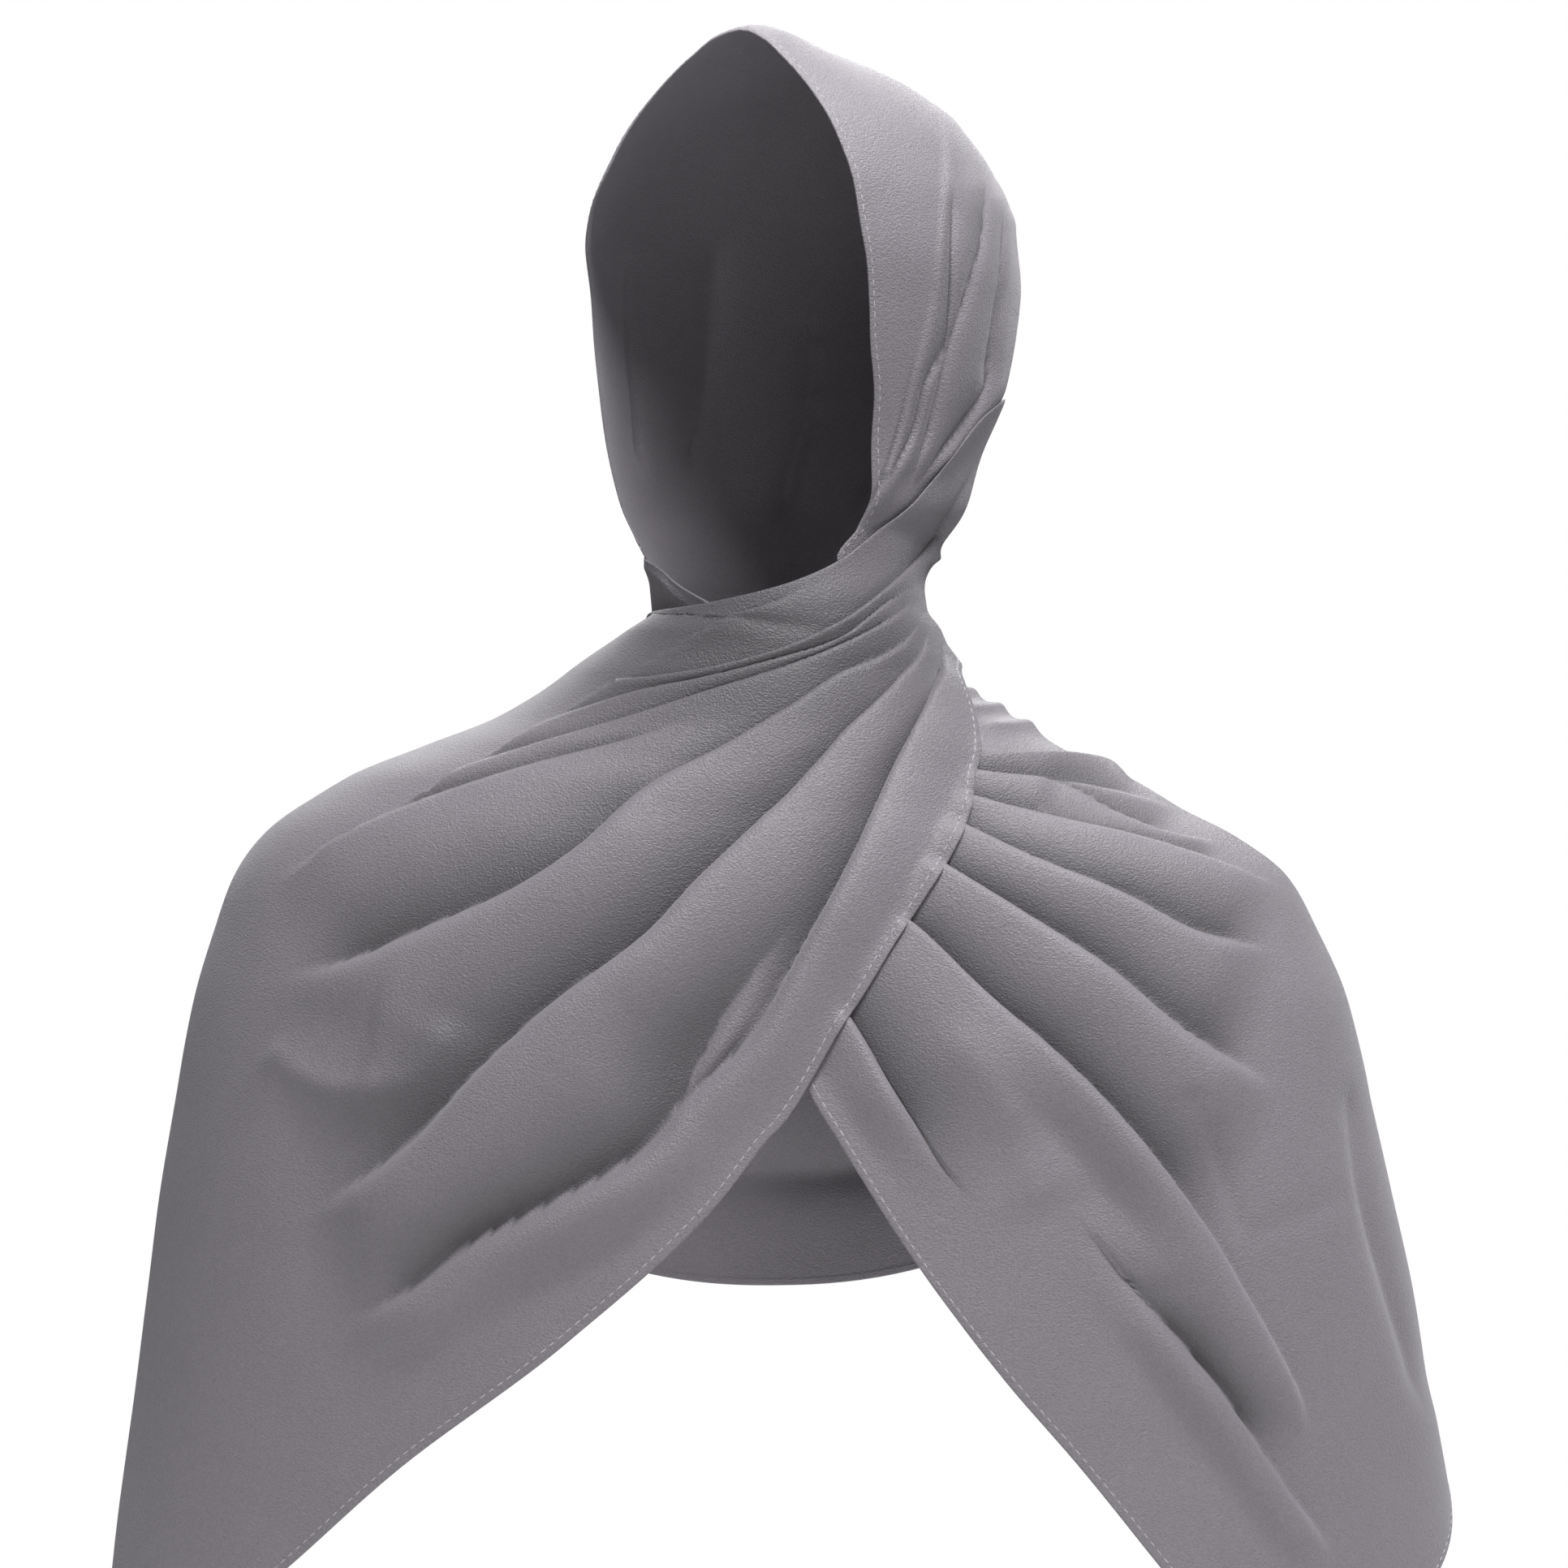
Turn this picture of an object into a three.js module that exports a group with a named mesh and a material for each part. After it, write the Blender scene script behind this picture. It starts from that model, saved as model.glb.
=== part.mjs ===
import * as THREE from "three";

// Hijab headscarf, worn: one crepe rectangle wound over the head, crossed under the chin and spread over
// both shoulders. Sizes are in millimetres. +Z is up, the wearer faces -Y, the origin is the inside of the
// hood's crown.

// The cloth and how it lies
const WALL = 1.5;
const LAP_STEP = 2.1;
const LAYER = { back_fall: 0, hood: 1, under_stretch: 2, front_stretch: 3 };
const CLOTH_COLOUR = {
  hood: "#918d95",
  back_fall: "#8a868e",
  under_stretch: "#95919a",
  front_stretch: "#928e96",
};
const CLOTH_ROUGHNESS = 0.9;

// The viewer's eye, straight in front of the wearer, for points measured from the front
const EYE = { y: -1500, z: -299 };

// The form that the cloth lies on, as rings from the crown to elbow height: z, the ring's middle x and y,
// half width, half depth, turn of its front in degrees (minus is the viewer's left) and squareness of its
// outline (2 is an ellipse).
const CROWN = { z: -LAP_STEP, high: 88, x: 8.7, y: 10, wide: 82, deep: 100, turn: -33 };
const CROWN_ANGLES = [0, 12, 24, 36, 48, 60, 75];
const RINGS = [
  { z: -90, x: 8.7, y: 10, wide: 82, deep: 100, turn: -33, square: 2 },
  { z: -110, x: 8, y: 10, wide: 80.5, deep: 98, turn: -33, square: 2 },
  { z: -133, x: 6.7, y: 10, wide: 77, deep: 93, turn: -33, square: 2 },
  { z: -160, x: 3.2, y: 9, wide: 71.5, deep: 82, turn: -30, square: 2 },
  { z: -183, x: 1.8, y: 7, wide: 65.5, deep: 74, turn: -22, square: 2 },
  { z: -198, x: 0, y: 5, wide: 57, deep: 68, turn: -15, square: 2 },
  { z: -217, x: 1, y: 2, wide: 51, deep: 64, turn: -6, square: 2 },
  { z: -230, x: 2.5, y: 0, wide: 51.5, deep: 63, turn: 0, square: 2 },
  { z: -237, x: 4.5, y: 0, wide: 54.5, deep: 63, turn: 0, square: 2 },
  { z: -246, x: -1.5, y: -1, wide: 63.5, deep: 65, turn: 0, square: 2 },
  { z: -260, x: -7, y: -1, wide: 78, deep: 69, turn: 0, square: 2 },
  { z: -278, x: -7, y: -1, wide: 106, deep: 74, turn: 0, square: 2.05 },
  { z: -291, x: -10.5, y: -1, wide: 135, deep: 79, turn: 0, square: 2.1 },
  { z: -303, x: -16, y: -2, wide: 159, deep: 82.5, turn: 0, square: 2.15 },
  { z: -313, x: -16, y: -2.5, wide: 175.5, deep: 85.5, turn: 0, square: 2.2 },
  { z: -325, x: -12.5, y: -3.5, wide: 195, deep: 89.5, turn: 0, square: 2.25 },
  { z: -340, x: -8, y: -4.5, wide: 210, deep: 93.5, turn: 0, square: 2.3 },
  { z: -360, x: -6, y: -5.5, wide: 219, deep: 97.5, turn: 0, square: 2.35 },
  { z: -388, x: -4, y: -6.5, wide: 229, deep: 102.5, turn: 0, square: 2.4 },
  { z: -429, x: -3, y: -8, wide: 237, deep: 108, turn: 0, square: 2.4 },
  { z: -465, x: -2, y: -8.5, wide: 244, deep: 110.5, turn: 0, square: 2.4 },
  { z: -505, x: 0, y: -9, wide: 251, deep: 111, turn: 0, square: 2.4 },
  { z: -545, x: 1, y: -9.5, wide: 257, deep: 109.5, turn: 0, square: 2.4 },
  { z: -605, x: 2, y: -10.5, wide: 266, deep: 106.5, turn: 0, square: 2.4 },
  { z: -720, x: 2, y: -10.5, wide: 276, deep: 102, turn: 0, square: 2.4 },
];

// The hood. Its front edge frames the face, as points seen from the front with how far the edge stands
// off the head, then points down the far cheek by turn round the head and height.
const GATHER = { right: [45, -60, -222], left: [-54, -8, -208] };
const FACE_EDGE = [
  { x: 20, z: -207, stand: 0 },
  { x: 28.5, z: -193, stand: 0 },
  { x: 32.5, z: -184.4, stand: 0 },
  { x: 34.5, z: -168, stand: 0 },
  { x: 35.5, z: -143, stand: 0 },
  { x: 34, z: -109, stand: 0 },
  { x: 31.5, z: -76, stand: 0.5 },
  { x: 26.5, z: -49, stand: 2 },
  { x: 14.7, z: -22.3, stand: 5 },
  { x: -2, z: -2.2, stand: 12 },
  { x: -10, z: 5, stand: 16 },
  { x: -19, z: 8.5, stand: 17 },
  { x: -28, z: 5.5, stand: 16 },
  { x: -37, z: -2, stand: 12 },
  { x: -55.6, z: -22.3, stand: 5 },
  { x: -72.4, z: -52.4, stand: 1.5 },
  { x: -79, z: -72.5, stand: 0.5 },
];
const FAR_CHEEK_EDGE = [
  { turn: -96, z: -100 },
  { turn: -95, z: -130 },
  { turn: -94, z: -160 },
  { turn: -93, z: -178 },
  { turn: -92, z: -193 },
];
const STAND_OFF_DEPTH = 34;
const NAPE_ANGLE = 196;
const HOOD_ENDS = { right: 9, left: 171 };
// Lines toward the gathers' middle start this far out, clear of the head
const CLEAR_OF_HEAD = 260;

// The two long stretches and the back fall, as rungs across the cloth: each rung goes from the top edge
// through a middle fold to the lower hem. x and z are seen from the front, turn (degrees) and z are used
// where the rung end is out of sight.
const FRONT_RUNGS = [
  { top: { turn: 166, z: -229 }, mid: { turn: 166, z: -236 }, hem: { turn: 166, z: -243 } },
  { top: { turn: 135, z: -190 }, mid: { turn: 135, z: -216 }, hem: { turn: 135, z: -246 } },
  { top: { turn: 98, z: -136 }, mid: { turn: 100, z: -186 }, hem: { turn: 104, z: -244 } },
  { top: { x: 77, z: -144 }, mid: { turn: 91, z: -196 }, hem: { turn: 96, z: -247 } },
  { top: { x: 57, z: -172.7 }, mid: { turn: 78, z: -213 }, hem: { turn: 87, z: -253 } },
  { top: { x: 38, z: -190.5 }, mid: { x: 50, z: -231 }, hem: { x: 79, z: -267 } },
  { top: { x: 20, z: -207 }, mid: { x: 36, z: -251 }, hem: { x: 82.5, z: -285 } },
  { top: { x: 1, z: -217.3 }, mid: { x: 20, z: -275 }, hem: { x: 75, z: -314 } },
  { top: { x: -25, z: -223.6 }, mid: { x: -5, z: -305 }, hem: { x: 58, z: -347 } },
  { top: { x: -53, z: -231 }, mid: { x: -42, z: -343 }, hem: { x: 28, z: -394 } },
  { top: { turn: -108, z: -245 }, mid: { x: -96, z: -391 }, hem: { x: -28, z: -473 } },
  { top: { turn: -126, z: -285 }, mid: { x: -148, z: -442 }, hem: { x: -89, z: -529 } },
  { top: { turn: -138, z: -340 }, mid: { x: -208, z: -482 }, hem: { x: -156, z: -580 } },
  { top: { turn: -146, z: -410 }, mid: { turn: -84, z: -530 }, hem: { x: -203, z: -622.6 } },
  { top: { turn: -152, z: -480 }, mid: { turn: -106, z: -575 }, hem: { x: -240, z: -655 } },
  { top: { turn: -156, z: -545 }, mid: { turn: -122, z: -608 }, hem: { turn: -88, z: -687 } },
];
const UNDER_RUNGS = [
  { top: { turn: -166, z: -229 }, mid: { turn: -166, z: -236 }, hem: { turn: -166, z: -243 } },
  { top: { turn: -132, z: -207 }, mid: { turn: -132, z: -222 }, hem: { turn: -132, z: -248 } },
  { top: { turn: -100, z: -197 }, mid: { turn: -98, z: -215 }, hem: { turn: -98, z: -250 } },
  { top: { turn: -70, z: -203 }, mid: { turn: -68, z: -226 }, hem: { turn: -66, z: -262 } },
  { top: { x: -44, z: -214 }, mid: { x: -42, z: -245 }, hem: { x: -44, z: -290 } },
  { top: { x: -28, z: -224 }, mid: { x: -26, z: -262 }, hem: { x: -30, z: -330 } },
  { top: { x: -5, z: -236 }, mid: { x: -2, z: -282 }, hem: { x: -12, z: -378 } },
  { top: { x: 24, z: -252 }, mid: { x: 22, z: -310 }, hem: { x: 9, z: -424 } },
  { top: { x: 52, z: -268 }, mid: { x: 52, z: -336 }, hem: { x: 25, z: -451 } },
  { top: { x: 80, z: -283 }, mid: { x: 88, z: -356 }, hem: { x: 63, z: -509 } },
  { top: { x: 110, z: -285 }, mid: { x: 138, z: -384 }, hem: { x: 90, z: -544 } },
  { top: { turn: 112, z: -300 }, mid: { x: 188, z: -424 }, hem: { x: 120, z: -579 } },
  { top: { turn: 128, z: -335 }, mid: { x: 234, z: -470 }, hem: { x: 155, z: -622.6 } },
  { top: { turn: 140, z: -390 }, mid: { turn: 91, z: -520 }, hem: { x: 178, z: -650 } },
  { top: { turn: 149, z: -450 }, mid: { turn: 104, z: -560 }, hem: { x: 200, z: -680 } },
];
const BACK_RUNGS = [
  { top: { turn: 64, z: -240 }, mid: { turn: 64, z: -262 }, hem: { turn: 64, z: -286 } },
  { top: { turn: 84, z: -234 }, mid: { turn: 84, z: -268 }, hem: { turn: 86, z: -310 } },
  { top: { turn: 110, z: -231 }, mid: { turn: 112, z: -290 }, hem: { turn: 116, z: -372 } },
  { top: { turn: 145, z: -229 }, mid: { turn: 146, z: -340 }, hem: { turn: 150, z: -478 } },
  { top: { turn: 180, z: -228 }, mid: { turn: 180, z: -360 }, hem: { turn: 181, z: -520 } },
  { top: { turn: 215, z: -229 }, mid: { turn: 214, z: -340 }, hem: { turn: 211, z: -480 } },
  { top: { turn: 250, z: -231 }, mid: { turn: 248, z: -292 }, hem: { turn: 244, z: -380 } },
  { top: { turn: 272, z: -234 }, mid: { turn: 272, z: -272 }, hem: { turn: 271, z: -318 } },
];

// How finely each stretch is cut up: steps along its length and across it
const GRID = {
  hood: { along: 30, across: 20 },
  back_fall: { along: 30, across: 14 },
  under_stretch: { along: 46, across: 20 },
  front_stretch: { along: 50, across: 20 },
};

// The largest folds. Each runs through [x, z] points seen from the front (or [turn, z] points out of
// sight); rise is its height, above and below are the widths of its two flanks, crest rounds its top.
const SEEN_FOLDS = {
  front_stretch: [
    { rise: 7, above: 22, below: 12, crest: 5,
      run: [[39, -248], [1, -270], [-57, -303], [-111, -343], [-186, -374], [-215, -378]] },
    { rise: 13, above: 34, below: 18, crest: 6,
      run: [[44, -261], [1, -307], [-56, -362], [-96, -391], [-148, -442], [-208, -482]] },
    { rise: 9, above: 24, below: 13, crest: 6,
      run: [[46, -292], [21, -344], [-2, -384], [-39, -428], [-80, -470], [-126, -487], [-193, -523]] },
    { rise: 4, above: 12, below: 8, crest: 4,
      run: [[-56, -277], [-96, -290], [-141, -302], [-186, -318], [-215, -326]] },
  ],
  under_stretch: [
    { rise: 6, above: 14, below: 9, crest: 4,
      run: [[98, -329], [141, -346], [172, -361], [203, -368]] },
    { rise: 10, above: 24, below: 13, crest: 5,
      run: [[84, -346], [135, -377], [164, -400], [194, -418], [205, -422]] },
    { rise: 10, above: 22, below: 14, crest: 5,
      run: [[72, -378], [109, -409], [147, -448], [175, -485], [203, -532], [220, -582]] },
    { rise: 6, above: 14, below: 12, crest: 5,
      run: [[36, -412], [45, -426], [60, -448], [78, -472]] },
    { rise: 8, above: 16, below: 12, crest: 5,
      run: [[126, -484], [149, -512], [180, -550], [206, -588], [232, -623]] },
  ],
  hood: [
    { rise: 3.5, above: 9, below: 7, crest: 3,
      run: [[83, -47], [81, -73], [76, -91], [65, -127], [58, -155]] },
    { rise: 3, above: 8, below: 7, crest: 3,
      run: [[64, -27], [65, -45], [62, -80], [56, -112], [46, -152]] },
  ],
  back_fall: [],
};
const HIDDEN_FOLDS = {
  front_stretch: [
    { rise: 9, above: 14, below: 14, crest: 5,
      run: [[-98, -380], [-102, -480], [-104, -600], [-104, -690]] },
    { rise: 9, above: 14, below: 14, crest: 5,
      run: [[-122, -350], [-126, -460], [-128, -570], [-128, -660]] },
    { rise: 7, above: 12, below: 12, crest: 5,
      run: [[-140, -400], [-144, -500], [-146, -600]] },
  ],
  under_stretch: [
    { rise: 9, above: 14, below: 14, crest: 5,
      run: [[98, -390], [101, -480], [103, -560], [104, -640]] },
    { rise: 8, above: 13, below: 13, crest: 5,
      run: [[120, -360], [124, -460], [127, -560], [128, -620]] },
  ],
  hood: [
    { rise: 3, above: 9, below: 9, crest: 4,
      run: [[110, -60], [122, -120], [132, -180]] },
    { rise: 3, above: 9, below: 9, crest: 4,
      run: [[-150, -60], [-148, -120], [-142, -170]] },
  ],
  back_fall: [
    { rise: 8, above: 14, below: 12, crest: 6,
      run: [[132, -282], [156, -330], [180, -350], [204, -330], [228, -282]] },
    { rise: 9, above: 16, below: 13, crest: 6,
      run: [[124, -310], [150, -385], [180, -415], [210, -385], [236, -310]] },
    { rise: 7, above: 16, below: 13, crest: 6,
      run: [[128, -370], [152, -440], [180, -472], [208, -440], [232, -370]] },
  ],
};
// Where no under stretch lies below it, the front stretch settles onto the hood by this much, up to this
// share of its length
const FRONT_SETTLE = 1.2;
const FRONT_SETTLE_BAND = { from: 0.22, to: 0.36 };
// The back fall's top is tucked in under the hood's nape above this height
const NECK_TUCK = 2.1;
const NECK_TUCK_BAND = { from: -270, to: -250 };
// Half the width of the bare strip of the back fall between the two stretches, in degrees of turn by height,
// and how far inside it the folds of the back fall die away
const BARE_BACK = { heights: [-560, -480, -410, -340, -285, -245], halfTurns: [20, 26, 30, 36, 50, 64] };
const BARE_FADE = 14;
// Folds out of sight are laid out round a ring of this radius, smaller above the neck
const HIDDEN_RADIUS = { head: 90, body: 170 };
const NECK_HEIGHT = -240;
// How squarely the form must face the eye for a fold seen from the front to show: none to full
const IN_SIGHT = { none: -0.05, full: 0.3 };
// A fold fades in and out over this share of its length
const FOLD_FADE = 0.16;
// Where the front stretch covers the under stretch, the lower cloth is flattened over this width
const COVER_FADE = 18;
const COVER_SINK = 1.4;
const FRONT_ONLY = 20;

// Fineness of the search for points on the form: steps along a line, halvings after a hit, and the spans
// in turn (radians) and length over which its slope is measured
const SEARCH = { steps: 200, halvings: 24, lengthHalvings: 40 };
const SLOPE_SPAN = { turn: 0.02, down: 1.5, margin: 2 };
// Sight lines are followed between these depths, in front of and behind the widest ring
const SIGHT_DEPTH = { near: -190, far: 70 };
// Above the crown a point counts as out by this much height for each unit
const CROWN_CLEARANCE = 10;
// Half size of the smallest ring, at the crown
const CROWN_TIP = 0.2;

const radians = THREE.MathUtils.degToRad;
const smooth = THREE.MathUtils.smoothstep;

// A monotone cubic through the values at the given stations
function smoothCurve(stations, values) {
  const last = stations.length - 1;
  const gap = stations.slice(1).map((station, i) => station - stations[i]);
  const slope = gap.map((width, i) => (values[i + 1] - values[i]) / width);
  const lean = values.map((value, i) => {
    if (i === 0) return slope[0];
    if (i === last) return slope[last - 1];
    if (slope[i - 1] * slope[i] <= 0) return 0;
    const before = 2 * gap[i] + gap[i - 1];
    const after = gap[i] + 2 * gap[i - 1];
    return (before + after) / (before / slope[i - 1] + after / slope[i]);
  });
  return (at) => {
    const place = THREE.MathUtils.clamp(at, stations[0], stations[last]);
    let i = 0;
    while (i < last - 1 && place > stations[i + 1]) i += 1;
    const u = (place - stations[i]) / gap[i];
    const keep = (1 + 2 * u) * (1 - u) ** 2;
    const leave = u * (1 - u) ** 2 * gap[i];
    const arrive = u * u * (u - 1) * gap[i];
    return keep * values[i] + (1 - keep) * values[i + 1] + leave * lean[i] + arrive * lean[i + 1];
  };
}

// The form: a ring for every length down it
const crownRings = CROWN_ANGLES.map((degrees) => ({
  ...CROWN,
  z: CROWN.z - CROWN.high * (1 - Math.cos(radians(degrees))),
  wide: Math.max(CROWN.wide * Math.sin(radians(degrees)), CROWN_TIP),
  deep: Math.max(CROWN.deep * Math.sin(radians(degrees)), CROWN_TIP),
  square: 2,
}));
const formRings = [...crownRings, ...RINGS];
const ringStations = [0];
for (let i = 1; i < formRings.length; i += 1) {
  const upper = formRings[i - 1];
  const lower = formRings[i];
  const outward = (lower.wide - upper.wide + lower.deep - upper.deep) / 2;
  ringStations.push(ringStations[i - 1] + Math.hypot(lower.z - upper.z, outward));
}
const ringCurves = {};
for (const column of ["z", "x", "y", "wide", "deep", "turn", "square"]) {
  ringCurves[column] = smoothCurve(ringStations, formRings.map((ring) => ring[column]));
}
const FORM_LENGTH = ringStations[ringStations.length - 1];

function ringAt(down) {
  const ring = {};
  for (const column of Object.keys(ringCurves)) ring[column] = ringCurves[column](down);
  ring.turn = radians(ring.turn);
  return ring;
}

function downAtHeight(z) {
  let above = 0;
  let below = FORM_LENGTH;
  for (let i = 0; i < SEARCH.lengthHalvings; i += 1) {
    const middle = (above + below) / 2;
    if (ringCurves.z(middle) > z) above = middle;
    else below = middle;
  }
  return (above + below) / 2;
}

const bend = (value, power) => Math.sign(value) * Math.abs(value) ** power;

function formPoint(turn, down) {
  const ring = ringAt(down);
  const round = turn - ring.turn;
  const across = bend(Math.sin(round), 2 / ring.square) * ring.wide;
  const ahead = bend(Math.cos(round), 2 / ring.square) * ring.deep;
  const cos = Math.cos(ring.turn);
  const sin = Math.sin(ring.turn);
  return new THREE.Vector3(
    ring.x + across * cos + ahead * sin,
    ring.y + across * sin - ahead * cos,
    ring.z,
  );
}

function formNormal(turn, down) {
  const at = THREE.MathUtils.clamp(down, SLOPE_SPAN.margin, FORM_LENGTH - SLOPE_SPAN.margin);
  const round = formPoint(turn + SLOPE_SPAN.turn, at).sub(formPoint(turn - SLOPE_SPAN.turn, at));
  const fall = formPoint(turn, at + SLOPE_SPAN.down).sub(formPoint(turn, at - SLOPE_SPAN.down));
  return fall.cross(round).normalize();
}

// Where a point is on the form: its ring, its turn round it, and how far out it is (1 on the form)
function formPlace(point) {
  const down = downAtHeight(point.z);
  const ring = ringAt(down);
  const dx = point.x - ring.x;
  const dy = point.y - ring.y;
  const across = (dx * Math.cos(ring.turn) + dy * Math.sin(ring.turn)) / ring.wide;
  const ahead = (dx * Math.sin(ring.turn) - dy * Math.cos(ring.turn)) / ring.deep;
  const turn = Math.atan2(bend(across, ring.square / 2), bend(ahead, ring.square / 2)) + ring.turn;
  const high = Math.max(point.z - CROWN.z, 0) / CROWN_CLEARANCE;
  const out = (Math.abs(across) ** ring.square + Math.abs(ahead) ** ring.square) ** (1 / ring.square);
  return { turn, down, out: out + high };
}

// The first place on the form along a straight line, or the nearest one when the line misses it
function firstPlace(from, toward, stand = 0) {
  const middle = new THREE.Vector3(CROWN.x, CROWN.y, CROWN.z - CROWN.high);
  const placeAt = (share) => {
    const point = from.clone().lerp(toward, share);
    if (stand > 0) point.sub(point.clone().sub(middle).setLength(stand));
    return formPlace(point);
  };
  let nearest = { share: 1, out: Infinity };
  for (let i = 0; i <= SEARCH.steps; i += 1) {
    const share = i / SEARCH.steps;
    const place = placeAt(share);
    if (place.out < nearest.out) nearest = { share, out: place.out };
    if (place.out <= 1) {
      let outside = Math.max(share - 1 / SEARCH.steps, 0);
      let inside = share;
      for (let k = 0; k < SEARCH.halvings; k += 1) {
        const half = (outside + inside) / 2;
        if (placeAt(half).out > 1) outside = half;
        else inside = half;
      }
      return placeAt(inside);
    }
  }
  return placeAt(nearest.share);
}

// A point seen from the front at x, z in the plane y = 0, carried along the line of sight to the form
function seenPlace({ x, z, stand = 0 }) {
  const eye = new THREE.Vector3(0, EYE.y, EYE.z);
  const onPlane = new THREE.Vector3(x, 0, z);
  const along = (y) => eye.clone().lerp(onPlane, (y - EYE.y) / -EYE.y);
  return firstPlace(along(SIGHT_DEPTH.near), along(SIGHT_DEPTH.far), stand);
}

function seenFrom(point) {
  const scale = -EYE.y / (point.y - EYE.y);
  return [point.x * scale, EYE.z + (point.z - EYE.z) * scale];
}

function placeOf(end) {
  if (end.turn !== undefined) return { turn: radians(end.turn), down: downAtHeight(end.z) };
  return seenPlace(end);
}

// Signed distance from a run of straight pieces, with the share of its length that has been passed
function besideRun(x, z, run) {
  let best = { distance: Infinity, side: 1, share: 0 };
  let passed = 0;
  let whole = 0;
  for (let i = 1; i < run.length; i += 1) {
    whole += Math.hypot(run[i][0] - run[i - 1][0], run[i][1] - run[i - 1][1]);
  }
  for (let i = 1; i < run.length; i += 1) {
    const [ax, az] = run[i - 1];
    const dx = run[i][0] - ax;
    const dz = run[i][1] - az;
    const long = Math.hypot(dx, dz);
    const part = THREE.MathUtils.clamp(((x - ax) * dx + (z - az) * dz) / long ** 2, 0, 1);
    const offX = x - ax - part * dx;
    const offZ = z - az - part * dz;
    const distance = Math.hypot(offX, offZ);
    if (distance < best.distance) {
      const side = Math.sign(dx * (z - az) - dz * (x - ax)) || 1;
      best = { distance, side, share: (passed + part * long) / whole };
    }
    passed += long;
  }
  return best;
}

function foldHeight(x, z, fold) {
  const { distance, side, share } = besideRun(x, z, fold.run);
  // A run to the viewer's left has its upper side on the right hand
  const runsLeft = fold.run[fold.run.length - 1][0] < fold.run[0][0];
  const above = (side > 0) !== runsLeft;
  const width = above ? fold.above : fold.below;
  const fade = smooth(share, 0, FOLD_FADE) * (1 - smooth(share, 1 - FOLD_FADE, 1));
  return fold.rise * fade * Math.exp((fold.crest - Math.hypot(distance, fold.crest)) / width);
}

const bareHalfTurn = smoothCurve(BARE_BACK.heights, BARE_BACK.halfTurns);

function foldsAt(name, turn, down, point) {
  const facing = formNormal(turn, down).dot(new THREE.Vector3(0, EYE.y, EYE.z).sub(point).normalize());
  const inSight = smooth(facing, IN_SIGHT.none, IN_SIGHT.full);
  const [x, z] = seenFrom(point);
  let height = 0;
  for (const fold of SEEN_FOLDS[name]) height += inSight * foldHeight(x, z, fold);
  const perDegree = radians(1) * (point.z > NECK_HEIGHT ? HIDDEN_RADIUS.head : HIDDEN_RADIUS.body);
  const centre = name === "back_fall" ? 180 : 0;
  const degrees = THREE.MathUtils.radToDeg(turn);
  const wrapped = name === "back_fall" ? (degrees + 360) % 360 : ((degrees + 540) % 360) - 180;
  const bareHalf = bareHalfTurn(point.z);
  const fromCentre = Math.abs(wrapped - centre);
  const bare = name === "back_fall" ? 1 - smooth(fromCentre, bareHalf - BARE_FADE, bareHalf) : 1;
  for (const fold of HIDDEN_FOLDS[name]) {
    const run = fold.run.map(([at, high]) => [(at - centre) * perDegree, high]);
    height += bare * foldHeight((wrapped - centre) * perDegree, point.z, { ...fold, run });
  }
  return height;
}

// Each stretch as two grids of points, its outer and its inner face
function wallGrids(name, placeAt, extraHeight) {
  const { along, across } = GRID[name];
  const middles = [];
  for (let i = 0; i <= along; i += 1) {
    const row = [];
    for (let j = 0; j <= across; j += 1) {
      const { turn, down } = placeAt(i / along, j / across);
      const base = formPoint(turn, down);
      const height = LAYER[name] * LAP_STEP + WALL / 2 + foldsAt(name, turn, down, base)
        + extraHeight(i / along, j / across, base);
      row.push(base.addScaledVector(formNormal(turn, down), height));
    }
    middles.push(row);
  }
  const outer = [];
  const inner = [];
  for (let i = 0; i <= along; i += 1) {
    outer.push([]);
    inner.push([]);
    for (let j = 0; j <= across; j += 1) {
      const lengthwise = middles[Math.min(i + 1, along)][j].clone().sub(middles[Math.max(i - 1, 0)][j]);
      const crosswise = middles[i][Math.min(j + 1, across)].clone().sub(middles[i][Math.max(j - 1, 0)]);
      const normal = crosswise.cross(lengthwise).normalize();
      outer[i].push(middles[i][j].clone().addScaledVector(normal, WALL / 2));
      inner[i].push(middles[i][j].clone().addScaledVector(normal, -WALL / 2));
    }
  }
  return { outer, inner };
}

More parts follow.
